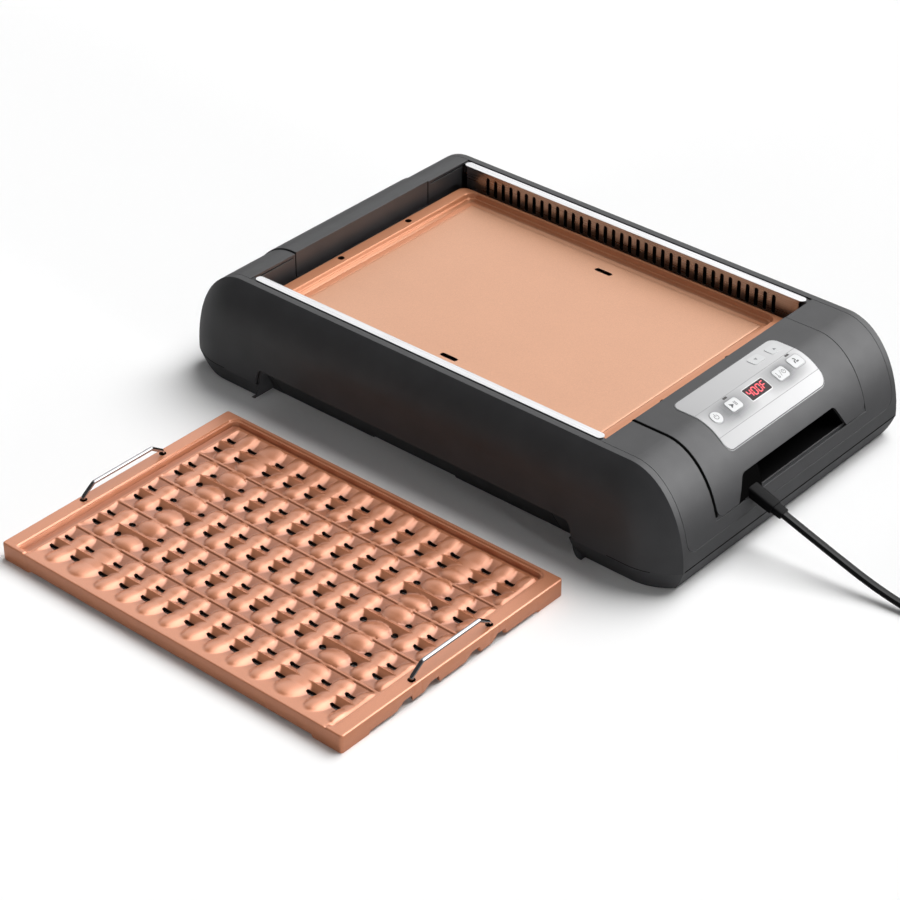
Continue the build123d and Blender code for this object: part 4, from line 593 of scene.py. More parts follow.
class GRILL_OT_cord(bpy.types.Operator):
    """Adds the flat twin mains cord, its sleeve and its plug"""

    bl_idname = "grill.cord"
    bl_label = "Mains Cord"

    def execute(self, context):
        looks = settings()
        jacket = soft_vinyl("cord_vinyl", (0.004, 0.004, 0.0044), (0.2, 0.33), 90.0, 2200.0, 0.14)
        route = CORD_ROUTE + coil_route() + TAIL_ROUTE
        curve = bpy.data.curves.new("cord_route", "CURVE")
        curve.dimensions = "3D"
        curve.resolution_u = 8
        spline = curve.splines.new("NURBS")
        spline.points.add(len(route) - 1)
        for point, place in zip(spline.points, route):
            point.co = (*place, 1)
        spline.order_u = 3
        spline.use_endpoint_u = True
        holder = bpy.data.objects.new("cord_route", curve)
        context.scene.collection.objects.link(holder)
        context.view_layer.update()
        line = bpy.data.meshes.new_from_object(holder.evaluated_get(context.evaluated_depsgraph_get()))
        co = np.zeros(len(line.vertices) * 3, np.float32)
        line.vertices.foreach_get("co", co)
        path = co.reshape(-1, 3).astype(float) / MM
        bpy.data.meshes.remove(line)
        bpy.data.objects.remove(holder)
        bpy.data.curves.remove(curve)

        # two round cores side by side: each point stands off its own core's centre
        width, thick = looks.cord_width / MM, looks.cord_thickness / MM
        turn = np.linspace(0, 2 * np.pi, 32, endpoint=False)
        core = (width - thick) / 2
        x = np.cos(turn) * (thick / 2) + np.tanh(np.cos(turn) * 5) * core
        y = np.sin(turn) * thick / 2 * (0.74 + 0.26 * np.tanh(np.abs(np.cos(turn)) * 4.5))
        sections = (np.tile(x, (len(path), 1)), np.tile(y, (len(path), 1)))
        points, quads, fans = closed_tube(path, sections)
        cord = outward(add_mesh("mains_cord", points, quads, jacket, triangles=fans, smooth=75))
        adopt(cord, "body", "cord_jacket", "cord", "cord_coil", "cord_tail")

        # the sleeve: a soft-cornered bar that narrows, with a step down near its end
        start = WELL + np.array([247.0, -55.0, 59.43])
        end = WELL + np.array([310.0, -55.0, 39.27])
        share = np.array([0, 0.03, 0.3, 0.6, 0.84, 0.86, 0.865, 0.985, 1.0])
        wide = np.array([6.6, 7.0, 6.9, 6.8, 6.7, 6.6, 5.4, 5.3, 5.0])
        high = np.array([4.4, 4.8, 4.7, 4.5, 4.3, 4.2, 3.3, 3.2, 2.9])
        sleeve_path = start + share[:, None] * (end - start)
        rubber = soft_vinyl("sleeve_rubber", (0.003, 0.003, 0.0033), (0.28, 0.42), 120.0, 2400.0, 0.05)
        sleeve = bar("cord_sleeve", sleeve_path, wide, high, 5.0, 40, rubber)
        adopt(sleeve, "body", "cord_jacket", "strain_relief")

        # the plug's grip: a section that swells from the cord's and has three finger ribs
        begin = np.array([554.25, 94.2, 7.5])
        share = np.linspace(0, 1, 60)
        swell = np.clip(share / 0.45, 0, 1)
        swell = swell * swell * (3 - 2 * swell)
        rib = 0.5 * np.sin(np.clip((share - 0.5) / 0.42, 0, 1) * 6 * np.pi) ** 2
        wide = 5.0 + 6.9 * swell - rib
        high = 3.4 + 4.0 * swell - rib
        for half in (wide, high):
            half[-2:] -= (0.4, 1.2)
        plug_path = begin + share[:, None] * np.array([34.0, 0, 0])
        grip = bar("plug_grip", plug_path, wide, high, 3.6, 48, jacket)
        adopt(grip, "body", "cord_jacket", "plug")
        blade_metal = plain_metal("plug_brass", (0.78, 0.72, 0.6), 0.28)
        for side, name in ((-1, "plug_blade_near"), (1, "plug_blade_far")):
            stem = begin + np.array([30.0, side * 6.35, 0])
            along = np.array([0, 0.2, 18.0, 20.2, 20.95])
            blade_path = stem + along[:, None] * np.array([1.0, 0, 0])
            flat = np.array([0.75, 0.75, 0.75, 0.7, 0.35])
            tall = np.array([3.175, 3.175, 3.175, 2.5, 1.6])
            adopt(bar(name, blade_path, flat, tall, 8.0, 24, blade_metal), "body", "screw_steel")
        return {"FINISHED"}


# The two cast plates

PLATE_HALF = np.array([185.0, 128.5])
PLATE_TOP = 16.3
GRILL_CORNER = 2.6
GRIDDLE_CORNER = 9.0
COLUMNS = np.array([-153.55, -129.3, -97.0, -72.75, -48.5, -24.25, 0.0,
                    24.25, 48.5, 72.75, 97.0, 129.3, 153.55])
BANDS = np.array([-92.8, -46.4, 0.0, 46.4, 92.8])
SLOT_ROW = 8.1
# the notches in the right edge: middles, where each ramp starts and ends, far side and heights
NOTCHES = (-54.7, -24.0, 24.0, 54.7)
NOTCH_RAMP = (-12.8, -4.8)
NOTCH_END = 4.8
FOOT_GAP = 2.4
NOTCH_HEIGHT = 7.5
SKIRT = 3.0
# half sizes and corner of the outline inside the rim
INSIDE = ((173.0, 124.9), 9.0)


def lines_through(breaks, step):
    """Grid lines through every break, evenly spaced between them and at most step apart."""
    breaks = np.unique(np.round(np.asarray(breaks, float), 3))
    runs = [np.linspace(a, b, max(int(math.ceil((b - a) / step - 0.01)), 1), endpoint=False)
            for a, b in zip(breaks, breaks[1:])]
    return np.concatenate(runs + [breaks[-1:]])


def round_corners(x, y, half, corner):
    """Points of a rectangle drawn in to rounded corners: in each corner square of side r, p becomes
    p times the root of one less q squared over twice r squared, and q likewise."""
    p = np.clip(np.abs(x) - (half[0] - corner), 0, corner)
    q = np.clip(np.abs(y) - (half[1] - corner), 0, corner)
    p_new = p * np.sqrt(1 - q**2 / (2 * corner**2))
    q_new = q * np.sqrt(1 - p**2 / (2 * corner**2))
    return x + np.sign(x) * (p_new - p), y + np.sign(y) * (q_new - q)


def inside_distance(x, y, half, corner):
    """How far a point lies inside a rounded rectangle; less than nought outside."""
    p = np.abs(x) - (half[0] - corner)
    q = np.abs(y) - (half[1] - corner)
    out = np.hypot(np.maximum(p, 0), np.maximum(q, 0)) + np.minimum(np.maximum(p, q), 0)
    return corner - out


def ease(value, low, high):
    """Nought below low, one above high, and a smooth S between."""
    share = np.clip((value - low) / (high - low), 0, 1)
    return share * share * (3 - 2 * share)


def rim_height(x, y, corner):
    """The rounded outer edge: the top less r, plus the root of r squared less (r less distance) squared."""
    radius = 1.3
    reach = np.clip(radius - inside_distance(x, y, PLATE_HALF, corner), 0, radius)
    return PLATE_TOP - radius + np.sqrt(np.maximum(radius**2 - reach**2, 0))


def griddle_height(x, y):
    """Rim, a step down, a narrow ledge, a sloping wall, a shallow gutter and the cooking floor."""
    inside = inside_distance(x, y, *INSIDE)
    drop = 4.2 * ease(inside, 0.0, 1.8) + 4.1 * ease(inside, 2.8, 4.8) - 0.9 * ease(inside, 7.6, 10.2)
    return rim_height(x, y, GRIDDLE_CORNER) - drop


def leaf_pattern(x, y, rise):
    """The embossed pattern's height under the rim.

    The floor falls in straight slopes from each band's middle to its two slot rows and climbs from
    them to the ridge between bands, or on the outermost sides to the rim. A leaf stands between two
    slots, its height over the slot rows rise times (1 less ((x less c) over a) squared less (v over
    b) squared) to the power 0.7, with v the distance beyond its row and c moving to the right
    toward the band's middle; right of its crest line it falls straight to its outline."""
    band = BANDS[np.abs(y[..., None] - BANDS).argmin(axis=-1)]
    side = np.abs(y - band)
    outer = (np.abs(band) > 90) & (y * band > band * band)
    climb = np.where(outer, 0.225 * (side - SLOT_ROW), 1.9 * (side - SLOT_ROW) / (23.2 - SLOT_ROW))
    climb = np.maximum(climb, 0)
    floor = -6.2 + np.maximum(climb, 3.3 * (1 - side / (SLOT_ROW - 0.6)))
    leaves = np.full_like(floor, -9.0)
    ends = np.array([COLUMNS[0] - 26.0, *COLUMNS, COLUMNS[-1] + 26.0])
    inner_band = np.abs(band) < 60
    for left, right in zip(ends, ends[1:]):
        split = (right - left > 30) & inner_band
        half = (right - left) / 2 - 2.2
        centre = (left + right) / 2 + 0.6 + np.where(split, 0, 1.6 * np.maximum(1 - side / 9.5, 0))
        row = np.where(split, 13.0, 9.5)
        long = np.where(outer, 18.0, np.where(split, 10.5, 12.5))
        short = np.where(split, 12.5, 60.0)
        beyond = np.where(side > row, (side - row) / long, (side - row) / short) ** 2
        crest = right - 6.3
        edge = centre + half * np.sqrt(np.maximum(1 - beyond, 0))
        dome = rise * np.maximum(1 - ((x - centre) / half) ** 2 - beyond, 0) ** 0.7
        top = rise * np.maximum(1 - ((crest - centre) / half) ** 2 - beyond, 0) ** 0.7
        fall = top * np.clip((edge - x) / np.maximum(edge - crest, 0.4), 0, 1) ** 1.15
        leaves = np.maximum(leaves, climb - 6.2 + np.where(x > crest, np.minimum(fall, top), dome))
    middle_ridge = -2.6 - 1.3 * np.maximum(side - 0.2, 0)
    band_ridge = np.where(outer, -9.0, -3.5 - 0.9 * np.maximum(23.2 - side - 0.7, 0))
    return np.maximum(np.maximum(floor, leaves), np.maximum(middle_ridge, band_ridge))


def grill_height(x, y, rise):
    """Rim, a step and a wall inside it on three sides, a channel along the left and far sides, and
    the leaf pattern, which climbs to the rim on the near side."""
    inside = inside_distance(x, y + 7.55, (173.0, 132.45), 9.0)
    wall = 0.26 * ease(inside, 0.0, 0.8) + 0.74 * ease(inside, 2.2, 3.6)
    from_left = x + 173.0
    from_far = 124.9 - y
    from_right = 173.0 - x
    pattern = leaf_pattern(x, y, rise)
    edge = np.minimum(np.minimum(from_left - 11.5, from_far - 7.0), from_right - 4.0)
    fade = ease(edge, -0.2, 3.0)
    base = -3.4 + (pattern + 3.4) * fade
    channel = -4.9 + 1.5 * ease(np.minimum(from_left - 9.3, from_far - 5.2), 0.0, 1.2)
    floor = np.where(edge < 1.0, np.minimum(base, channel), base)
    near = ease(y + 126.0, 0.0, 7.0)
    return rim_height(x, y, GRILL_CORNER) + wall * floor * (near + (1 - near) * fade)


def hole_edges(holes):
    """Grid lines along the sides of every hole, in x and in y."""
    return ([hx + s * half_x for hx, _, half_x, _, _ in holes for s in (-1, 1)],
            [hy + s * half_y for _, hy, _, half_y, _ in holes for s in (-1, 1)])


def open_cells(lines_x, lines_y, holes):
    """Which cells of a grid lie in a hole."""
    cells = np.zeros((len(lines_x) - 1, len(lines_y) - 1), bool)
    mid_x = (lines_x[1:] + lines_x[:-1])[:, None] / 2
    mid_y = (lines_y[1:] + lines_y[:-1])[None, :] / 2
    for hx, hy, half_x, half_y, _ in holes:
        cells |= (np.abs(mid_x - hx) < half_x) & (np.abs(mid_y - hy) < half_y)
    return cells


def border_of(index):
    """The points round the border of a grid of point numbers, in order."""
    return np.concatenate([index[:-1, 0], index[-1, :-1], index[:0:-1, -1], index[0, :0:-1]])


def cast_plate(name, place, step, corner, height, levels, roof_z, holes, material,
               hole_shade_material, extra_x=(), extra_y=()):
    """A cast plate: its top over a rectangular grid with rounded corners, holes cut where the grid
    has lines, their walls in painted shade, the outer skirt, the skirt's inner face and a plain underside.

    The value "hollow" goes from nought to one between the two levels' depths under the rim; on the grill
    plate it lays painted shade in the deep valleys and round the slots, on the griddle it gives the floor
    its lighter tone. The underside lies at roof_z. Every hole is (x, y, half_x, half_y, power), and near it
    the grid is drawn from a rectangle to the curve |x/half_x|^power + |y/half_y|^power = 1."""
    a, b = PLATE_HALF
    edge = [0, 0.12, 0.4, 0.85, 1.3, *(corner * np.array([0.55, 0.8, 1.0]))]
    hole_x, hole_y = hole_edges(holes)
    notch_y = [n + d for n in NOTCHES for d in (*NOTCH_RAMP, NOTCH_END)]
    lines_x = lines_through([s * (a - e) for e in edge for s in (-1, 1)] + [*extra_x, *hole_x], step)
    lines_y = lines_through([s * (b - e) for e in edge for s in (-1, 1)] + [*extra_y, *hole_y, *notch_y], step)
    x, y = np.meshgrid(lines_x, lines_y, indexing="ij")
    flat_x, flat_y = x.copy(), y.copy()
    open_cell = open_cells(lines_x, lines_y, holes)
    for hx, hy, half_x, half_y, power in holes:
        near = (np.abs(x - hx) < 2.2 * half_x) & (np.abs(y - hy) < 2.2 * half_y)
        u, v = (x[near] - hx) / half_x, (y[near] - hy) / half_y
        square = np.maximum(np.maximum(np.abs(u), np.abs(v)), 1e-9)
        spread = np.abs(u / square) ** power + np.abs(v / square) ** power
        curve = np.maximum(spread, 1e-6) ** (-1 / power)
        pull = 1 - ease(square, 1.0, 2.0)
        factor = 1 + pull * (curve - 1)
        x[near] = hx + u * half_x * factor
        y[near] = hy + v * half_y * factor
    x, y = round_corners(x, y, PLATE_HALF, corner)
    z = height(x, y)
    rows, columns = x.shape
    index = np.arange(rows * columns).reshape(rows, columns)
    top = np.stack([x.ravel(), y.ravel(), z.ravel()], axis=-1)
    a0, b0 = index[:-1, :-1], index[1:, :-1]
    c0, d0 = index[1:, 1:], index[:-1, 1:]
    keep = ~open_cell
    quads = [np.stack([a0[keep], b0[keep], c0[keep], d0[keep]], axis=-1)]
    parts = [top]

    # hole walls: an edge between a kept and an open cell goes straight down to the underside
    low = np.stack([flat_x.ravel(), flat_y.ravel(), np.full(x.size, roof_z)], axis=-1)
    used = np.full(rows * columns, -1)
    walls = []
    padded = np.pad(open_cell, 1)
    inner = padded[1:-1, 1:-1]
    for shift_x, shift_y, start, end in (
        (-1, 0, d0, a0), (1, 0, b0, c0), (0, -1, a0, b0), (0, 1, c0, d0),
    ):
        beside = padded[1 + shift_x:rows + shift_x, 1 + shift_y:columns + shift_y]
        border = inner & ~beside
        walls.append(np.stack([start[border], end[border]], axis=-1))
    walls = np.concatenate(walls)
    ring = np.unique(walls)
    used[ring] = rows * columns + np.arange(len(ring))
    parts.append(low[ring])
    start, end = walls.T
    quads.append(np.stack([used[end], used[start], start, end], axis=-1))
    count = rows * columns + len(ring)

    # outer skirt, foot and inner face, round the grid's border
    border = border_of(index)
    bx, by = flat_x.ravel()[border], flat_y.ravel()[border]
    foot = np.where((np.abs(bx) < a - 30) | (np.abs(by) < b - 30), FOOT_GAP, 0.0)
    for middle in NOTCHES:
        off = by - middle
        low, high = NOTCH_RAMP
        ramp_up = FOOT_GAP + (NOTCH_HEIGHT - FOOT_GAP) * np.clip((off - low) / (high - low), 0, 1)
        notch = np.where((off > low) & (off < NOTCH_END - 1e-6), ramp_up, 0)
        foot = np.where(bx > a - 0.01, np.maximum(foot, notch), foot)
    inner_half = PLATE_HALF - SKIRT
    inner_x, inner_y = round_corners(bx * (inner_half[0] / a), by * (inner_half[1] / b), inner_half,
                                     max(corner - SKIRT, 0.5))
    outline = top[border]
    loops = [
        np.stack([outline[:, 0], outline[:, 1], foot + 0.6], axis=-1),
        np.stack([outline[:, 0] * 0.9985, outline[:, 1] * 0.9985, foot], axis=-1),
        np.stack([inner_x, inner_y, foot], axis=-1),
        np.stack([inner_x, inner_y, np.full(len(border), roof_z)], axis=-1),
    ]
    before = border
    around = np.arange(len(border))
    following = (around + 1) % len(border)
    for loop in loops:
        now = count + around
        parts.append(loop)
        quads.append(np.stack([before, now, now[following], before[following]], axis=-1))
        before = now
        count += len(loop)

    # underside, on a coarse grid with the same holes, its rim sunk in the skirt
    under_half = (a - 2.4, b - 2.4)
    under_corner = max(corner - 2.4, 0.6)
    corner_lines = [share * under_corner for share in (0, 0.06, 0.2, 0.4, 0.65, 1)]
    under_x = [s * (under_half[0] - e) for e in corner_lines for s in (-1, 1)]
    under_y = [s * (under_half[1] - e) for e in corner_lines for s in (-1, 1)]
    under_x = lines_through(under_x + hole_x, 60.0)
    under_y = lines_through(under_y + hole_y, 60.0)
    gx, gy = np.meshgrid(under_x, under_y, indexing="ij")
    shut = ~open_cells(under_x, under_y, holes)
    gx, gy = round_corners(gx, gy, under_half, under_corner)
    parts.append(np.stack([gx.ravel(), gy.ravel(), np.full(gx.size, roof_z)], axis=-1))
    grid = count + np.arange(gx.size).reshape(gx.shape)
    quads.append(np.stack([grid[:-1, :-1][shut], grid[:-1, 1:][shut], grid[1:, 1:][shut],
                           grid[1:, :-1][shut]], axis=-1))
    all_points, all_quads = np.concatenate(parts), np.concatenate(quads)
    kept, order = np.unique(all_quads, return_inverse=True)
    made = add_mesh(name, all_points[kept], order.reshape(-1, 4), material, place, smooth=32)
    # the hole walls take the second material, painted shade
    made.data.materials.append(hole_shade_material)
    face = np.zeros(len(made.data.polygons), np.int32)
    first = len(quads[0])
    face[first:first + len(walls)] = 1
    made.data.polygons.foreach_set("material_index", face)
    # the coat's second tone by depth: on the grill plate, painted shade in the deep valleys and round the
    # slots
    depth = PLATE_TOP - all_points[kept][:, 2]
    within = inside_distance(*all_points[kept].T[:2], *INSIDE)
    hollow = ease(depth, *levels) * ease(within, 0.5, 3.0)
    made.data.attributes.new("hollow", "FLOAT", "POINT").data.foreach_set("value", hollow.astype(np.float32))
    return made


def lift_holes():
    """The four holes in a plate's side rims that the wire handles hook into."""
    return [(s * 179.4, t * 45.0, 3.2, 3.2, 2.0) for s in (-1, 1) for t in (-1, 1)]


class GRILL_OT_grill_plate(bpy.types.Operator):
    """Adds the embossed and pierced grill plate that lies on the table"""

    bl_idname = "grill.grill_plate"
    bl_label = "Grill Plate"

    def execute(self, context):
        looks = settings()
        # the second colour is painted shade: a darker brown on the deep valleys and round the slots
        copper = copper_coat("copper_grill_coat", tuple(looks.plate_colour), (0.29, 0.095, 0.04),
                             0.36, 0.4, 0.5)
        holes = lift_holes()
        for x in COLUMNS:
            for band in BANDS:
                for side in (-1, 1):
                    dotted = 90 < abs(x) < 140 and abs(band) < 60
                    size = (3.0, 2.8, 2.0) if dotted else (4.8, 2.05, 3.4)
                    holes.append((x, band + side * SLOT_ROW, *size))
        rise = looks.dome_rise / MM
        plate = cast_plate(
            "embossed_grill_plate", REST_PLATE, looks.grid_step / MM, GRILL_CORNER,
            lambda x, y: grill_height(x, y, rise), (2.6, 6.0), 7.6, holes, copper,
            shaded_hole("grill_hole_shade"),
            extra_x=[-173, -172.2, -170.8, -169.4, -163.7, -162.5, -161.5, 169.0, 169.4, 170.8, 172.2, 173,
                     *(COLUMNS - 6.3), *(COLUMNS - 6.0)],
            extra_y=[*BANDS, *(BANDS - 0.3), *(BANDS + 0.3), -126.0,
                     117.9, 119.7, 121.3, 122.7, 123.2, 124.1, 124.9,
                     *(s * (middle + d) for s in (-1, 1) for middle in (23.2, 69.6) for d in (-0.7, 0, 0.7))])
        adopt(plate, "grill", "copper_grill", "grill_plate")
        return {"FINISHED"}


class GRILL_OT_griddle(bpy.types.Operator):
    """Adds the flat griddle plate in the well"""

    bl_idname = "grill.griddle"
    bl_label = "Griddle Plate"

    def execute(self, context):
        looks = settings()
        copper = copper_coat("copper_griddle_coat", (0.48, 0.195, 0.095), tuple(looks.griddle_colour),
                             0.38, 0.35, 0.1)
        holes = lift_holes() + [(4.0, 99.0, 9.0, 2.5, 5.0), (-6.0, -99.0, 9.0, 2.5, 5.0)]
        walls = [0, 0.5, 0.9, 1.3, 1.8, 2.8, 3.5, 4.1, 4.8, 7.6, 8.5, 9.3, 10.2]
        plate = cast_plate(
            "smooth_griddle_plate", GRIDDLE, 2 * looks.grid_step / MM, GRIDDLE_CORNER, griddle_height,
            (6.0, 7.4), 8.8, holes, copper, shaded_hole("griddle_hole_shade"),
            extra_x=[s * (173.0 - w) for w in walls for s in (-1, 1)],
            extra_y=[s * (124.9 - w) for w in walls for s in (-1, 1)])
        adopt(plate, "griddle", "copper_griddle", "griddle_plate")
        return {"FINISHED"}


# The panel's print

def panel_z(x, lift):
    """Height of the panel at x: level up to the shoulder, then the quarter ellipse of the pod's end,
    both grown outward by lift over the housing."""
    over = np.clip((np.asarray(x, float) - SHOULDER) / (POD_REACH + lift), 0, 0.999)
    return POD_BASE + (POD_RISE + lift) * np.sqrt(1 - over**2)


def on_panel(x, y, lift):
    """Points over the panel from their places seen from above."""
    x, y = np.asarray(x, float), np.asarray(y, float)
    return np.stack([x, y + 0 * x, panel_z(x, lift)], axis=-1) + WELL


def stroke(path, width, lift, closed=False):
    """A flat line of that width along a path seen from above: each point moved half a width both ways
    across the path, laid on the panel."""
    path = np.asarray(path, float)
    if closed:
        ahead = np.roll(path, -1, axis=0) - np.roll(path, 1, axis=0)
    else:
        ahead = np.gradient(path, axis=0)
    ahead /= np.linalg.norm(ahead, axis=1, keepdims=True)
    side = np.stack([-ahead[:, 1], ahead[:, 0]], axis=-1) * width / 2
    both = np.stack([path - side, path + side])
    points = on_panel(both[..., 0], both[..., 1], lift).transpose(1, 0, 2).reshape(-1, 3)
    n = len(path)
    quads = grid_quads(n, 2)
    if closed:
        last = np.array([[2 * n - 2, 2 * n - 1, 1, 0]])
        quads = np.concatenate([quads, last])
    return points, quads


def joined(pieces):
    """Several (points, quads) sets as one."""
    points, quads, count = [], [], 0
    for some_points, some_quads in pieces:
        points.append(some_points)
        quads.append(some_quads + count)
        count += len(some_points)
    return np.concatenate(points), np.concatenate(quads)


def densely(path, step=0.8):
    """The same path with points no more than step apart."""
    path = np.asarray(path, float)
    runs = []
    for start, end in zip(path, path[1:]):
        count = max(int(np.ceil(np.linalg.norm(end - start) / step)), 1)
        share = np.arange(count)[:, None] / count
        runs.append(start + share * (end - start))
    return np.concatenate(runs + [path[-1:]])


def rounded_box(x0, x1, y0, y1, corner, count=8):
    """A closed rounded rectangle, as points seen from above."""
    turn = np.linspace(0, np.pi / 2, count)
    runs = []
    for cx, cy, start in ((x1 - corner, y1 - corner, 0), (x0 + corner, y1 - corner, 1),
                          (x0 + corner, y0 + corner, 2), (x1 - corner, y0 + corner, 3)):
        angle = turn + start * np.pi / 2
        runs.append(np.stack([cx + corner * np.cos(angle), cy + corner * np.sin(angle)], axis=-1))
    path = np.concatenate(runs)
    return densely(np.concatenate([path, path[:1]]), 1.2)[:-1]


def curved_plate(name, box, corner, low, high, material):
    """A thin plate over the panel: a grid in the box with rounded corners, laid at two lifts, with a
    wall between them all round."""
    x0, x1, y0, y1 = box
    half = np.array([(x1 - x0) / 2, (y1 - y0) / 2])
    near = [corner * share for share in (0, 0.1, 0.3, 0.6, 1.0)]
    u = lines_through([s * (half[0] - n) for n in near for s in (-1, 1)], 1.5)
    v = lines_through([s * (half[1] - n) for n in near for s in (-1, 1)], 4.0)
    gx, gy = round_corners(*np.meshgrid(u, v, indexing="ij"), half, corner)
    gx, gy = gx + (x0 + x1) / 2, gy + (y0 + y1) / 2
    rows, columns = gx.shape
    index = np.arange(gx.size).reshape(rows, columns)
    border = border_of(index)
    following = np.roll(border, -1)
    upper, lower = (on_panel(gx, gy, lift).reshape(-1, 3) for lift in (high, low))
    top = grid_quads(rows, columns)[:, ::-1]
    walls = np.stack([border, border + gx.size, following + gx.size, following], axis=-1)
    quads = np.concatenate([top, top[:, ::-1] + gx.size, walls])
    return outward(add_mesh(name, np.concatenate([upper, lower]), quads, material))


def arc(cx, cy, radius, start, end, count=24):
    """An arc from start to end, in degrees, as points seen from above."""
    turn = np.radians(np.linspace(start, end, count))
    return np.stack([cx + radius * np.cos(turn), cy + radius * np.sin(turn)], axis=-1)


def ring(cx, cy, radius, count, width, lift):
    """A closed circle of that line width."""
    return stroke(arc(cx, cy, radius, 0, 360, count)[:-1], width, lift, closed=True)


def frame_line(box, corner, width):
    """A closed line round a box with rounded corners."""
    return stroke(rounded_box(*box, corner), width, PANEL_LIFT, closed=True)


def bars(width, *paths, step=0.6):
    """Straight lines of one width on a key."""
    return [stroke(densely(path, step), width, KEY_LIFT) for path in paths]


def printed(name, strokes, ink, body="body"):
    """Adds strokes as one thin print that rides on a body."""
    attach(face_up(add_mesh(name, *joined(strokes), ink)), body)


PANEL_LIFT = 1.29
KEY_LIFT = 1.83
KEY_TOP = 1.78
FILM_TOP = 1.25
# each key's middle and half sizes
KEYS = {
    "power": (240.4, -57.0, 5.5, 5.5),
    "start_pause": (239.7, -32.7, 5.3, 7.4),
    "temp_timer": (240.8, 31.2, 5.3, 7.4),
    "fan": (239.3, 54.3, 5.3, 7.4),
    "down": (215.4, 32.0, 5.3, 7.4),
    "up": (216.7, 54.9, 5.3, 7.4),
}
RINGED_KEYS = ("start_pause", "temp_timer", "fan")
SEGMENTS = {"A": ((0, 1), (1, 1)), "B": ((1, 1), (1, 0)), "C": ((1, 0), (1, -1)), "D": ((0, -1), (1, -1)),
            "E": ((0, 0), (0, -1)), "F": ((0, 1), (0, 0)), "G": ((0, 0), (1, 0))}
DIGITS = {"4": "BCFG", "0": "ABCDEF", "F": "AEFG"}


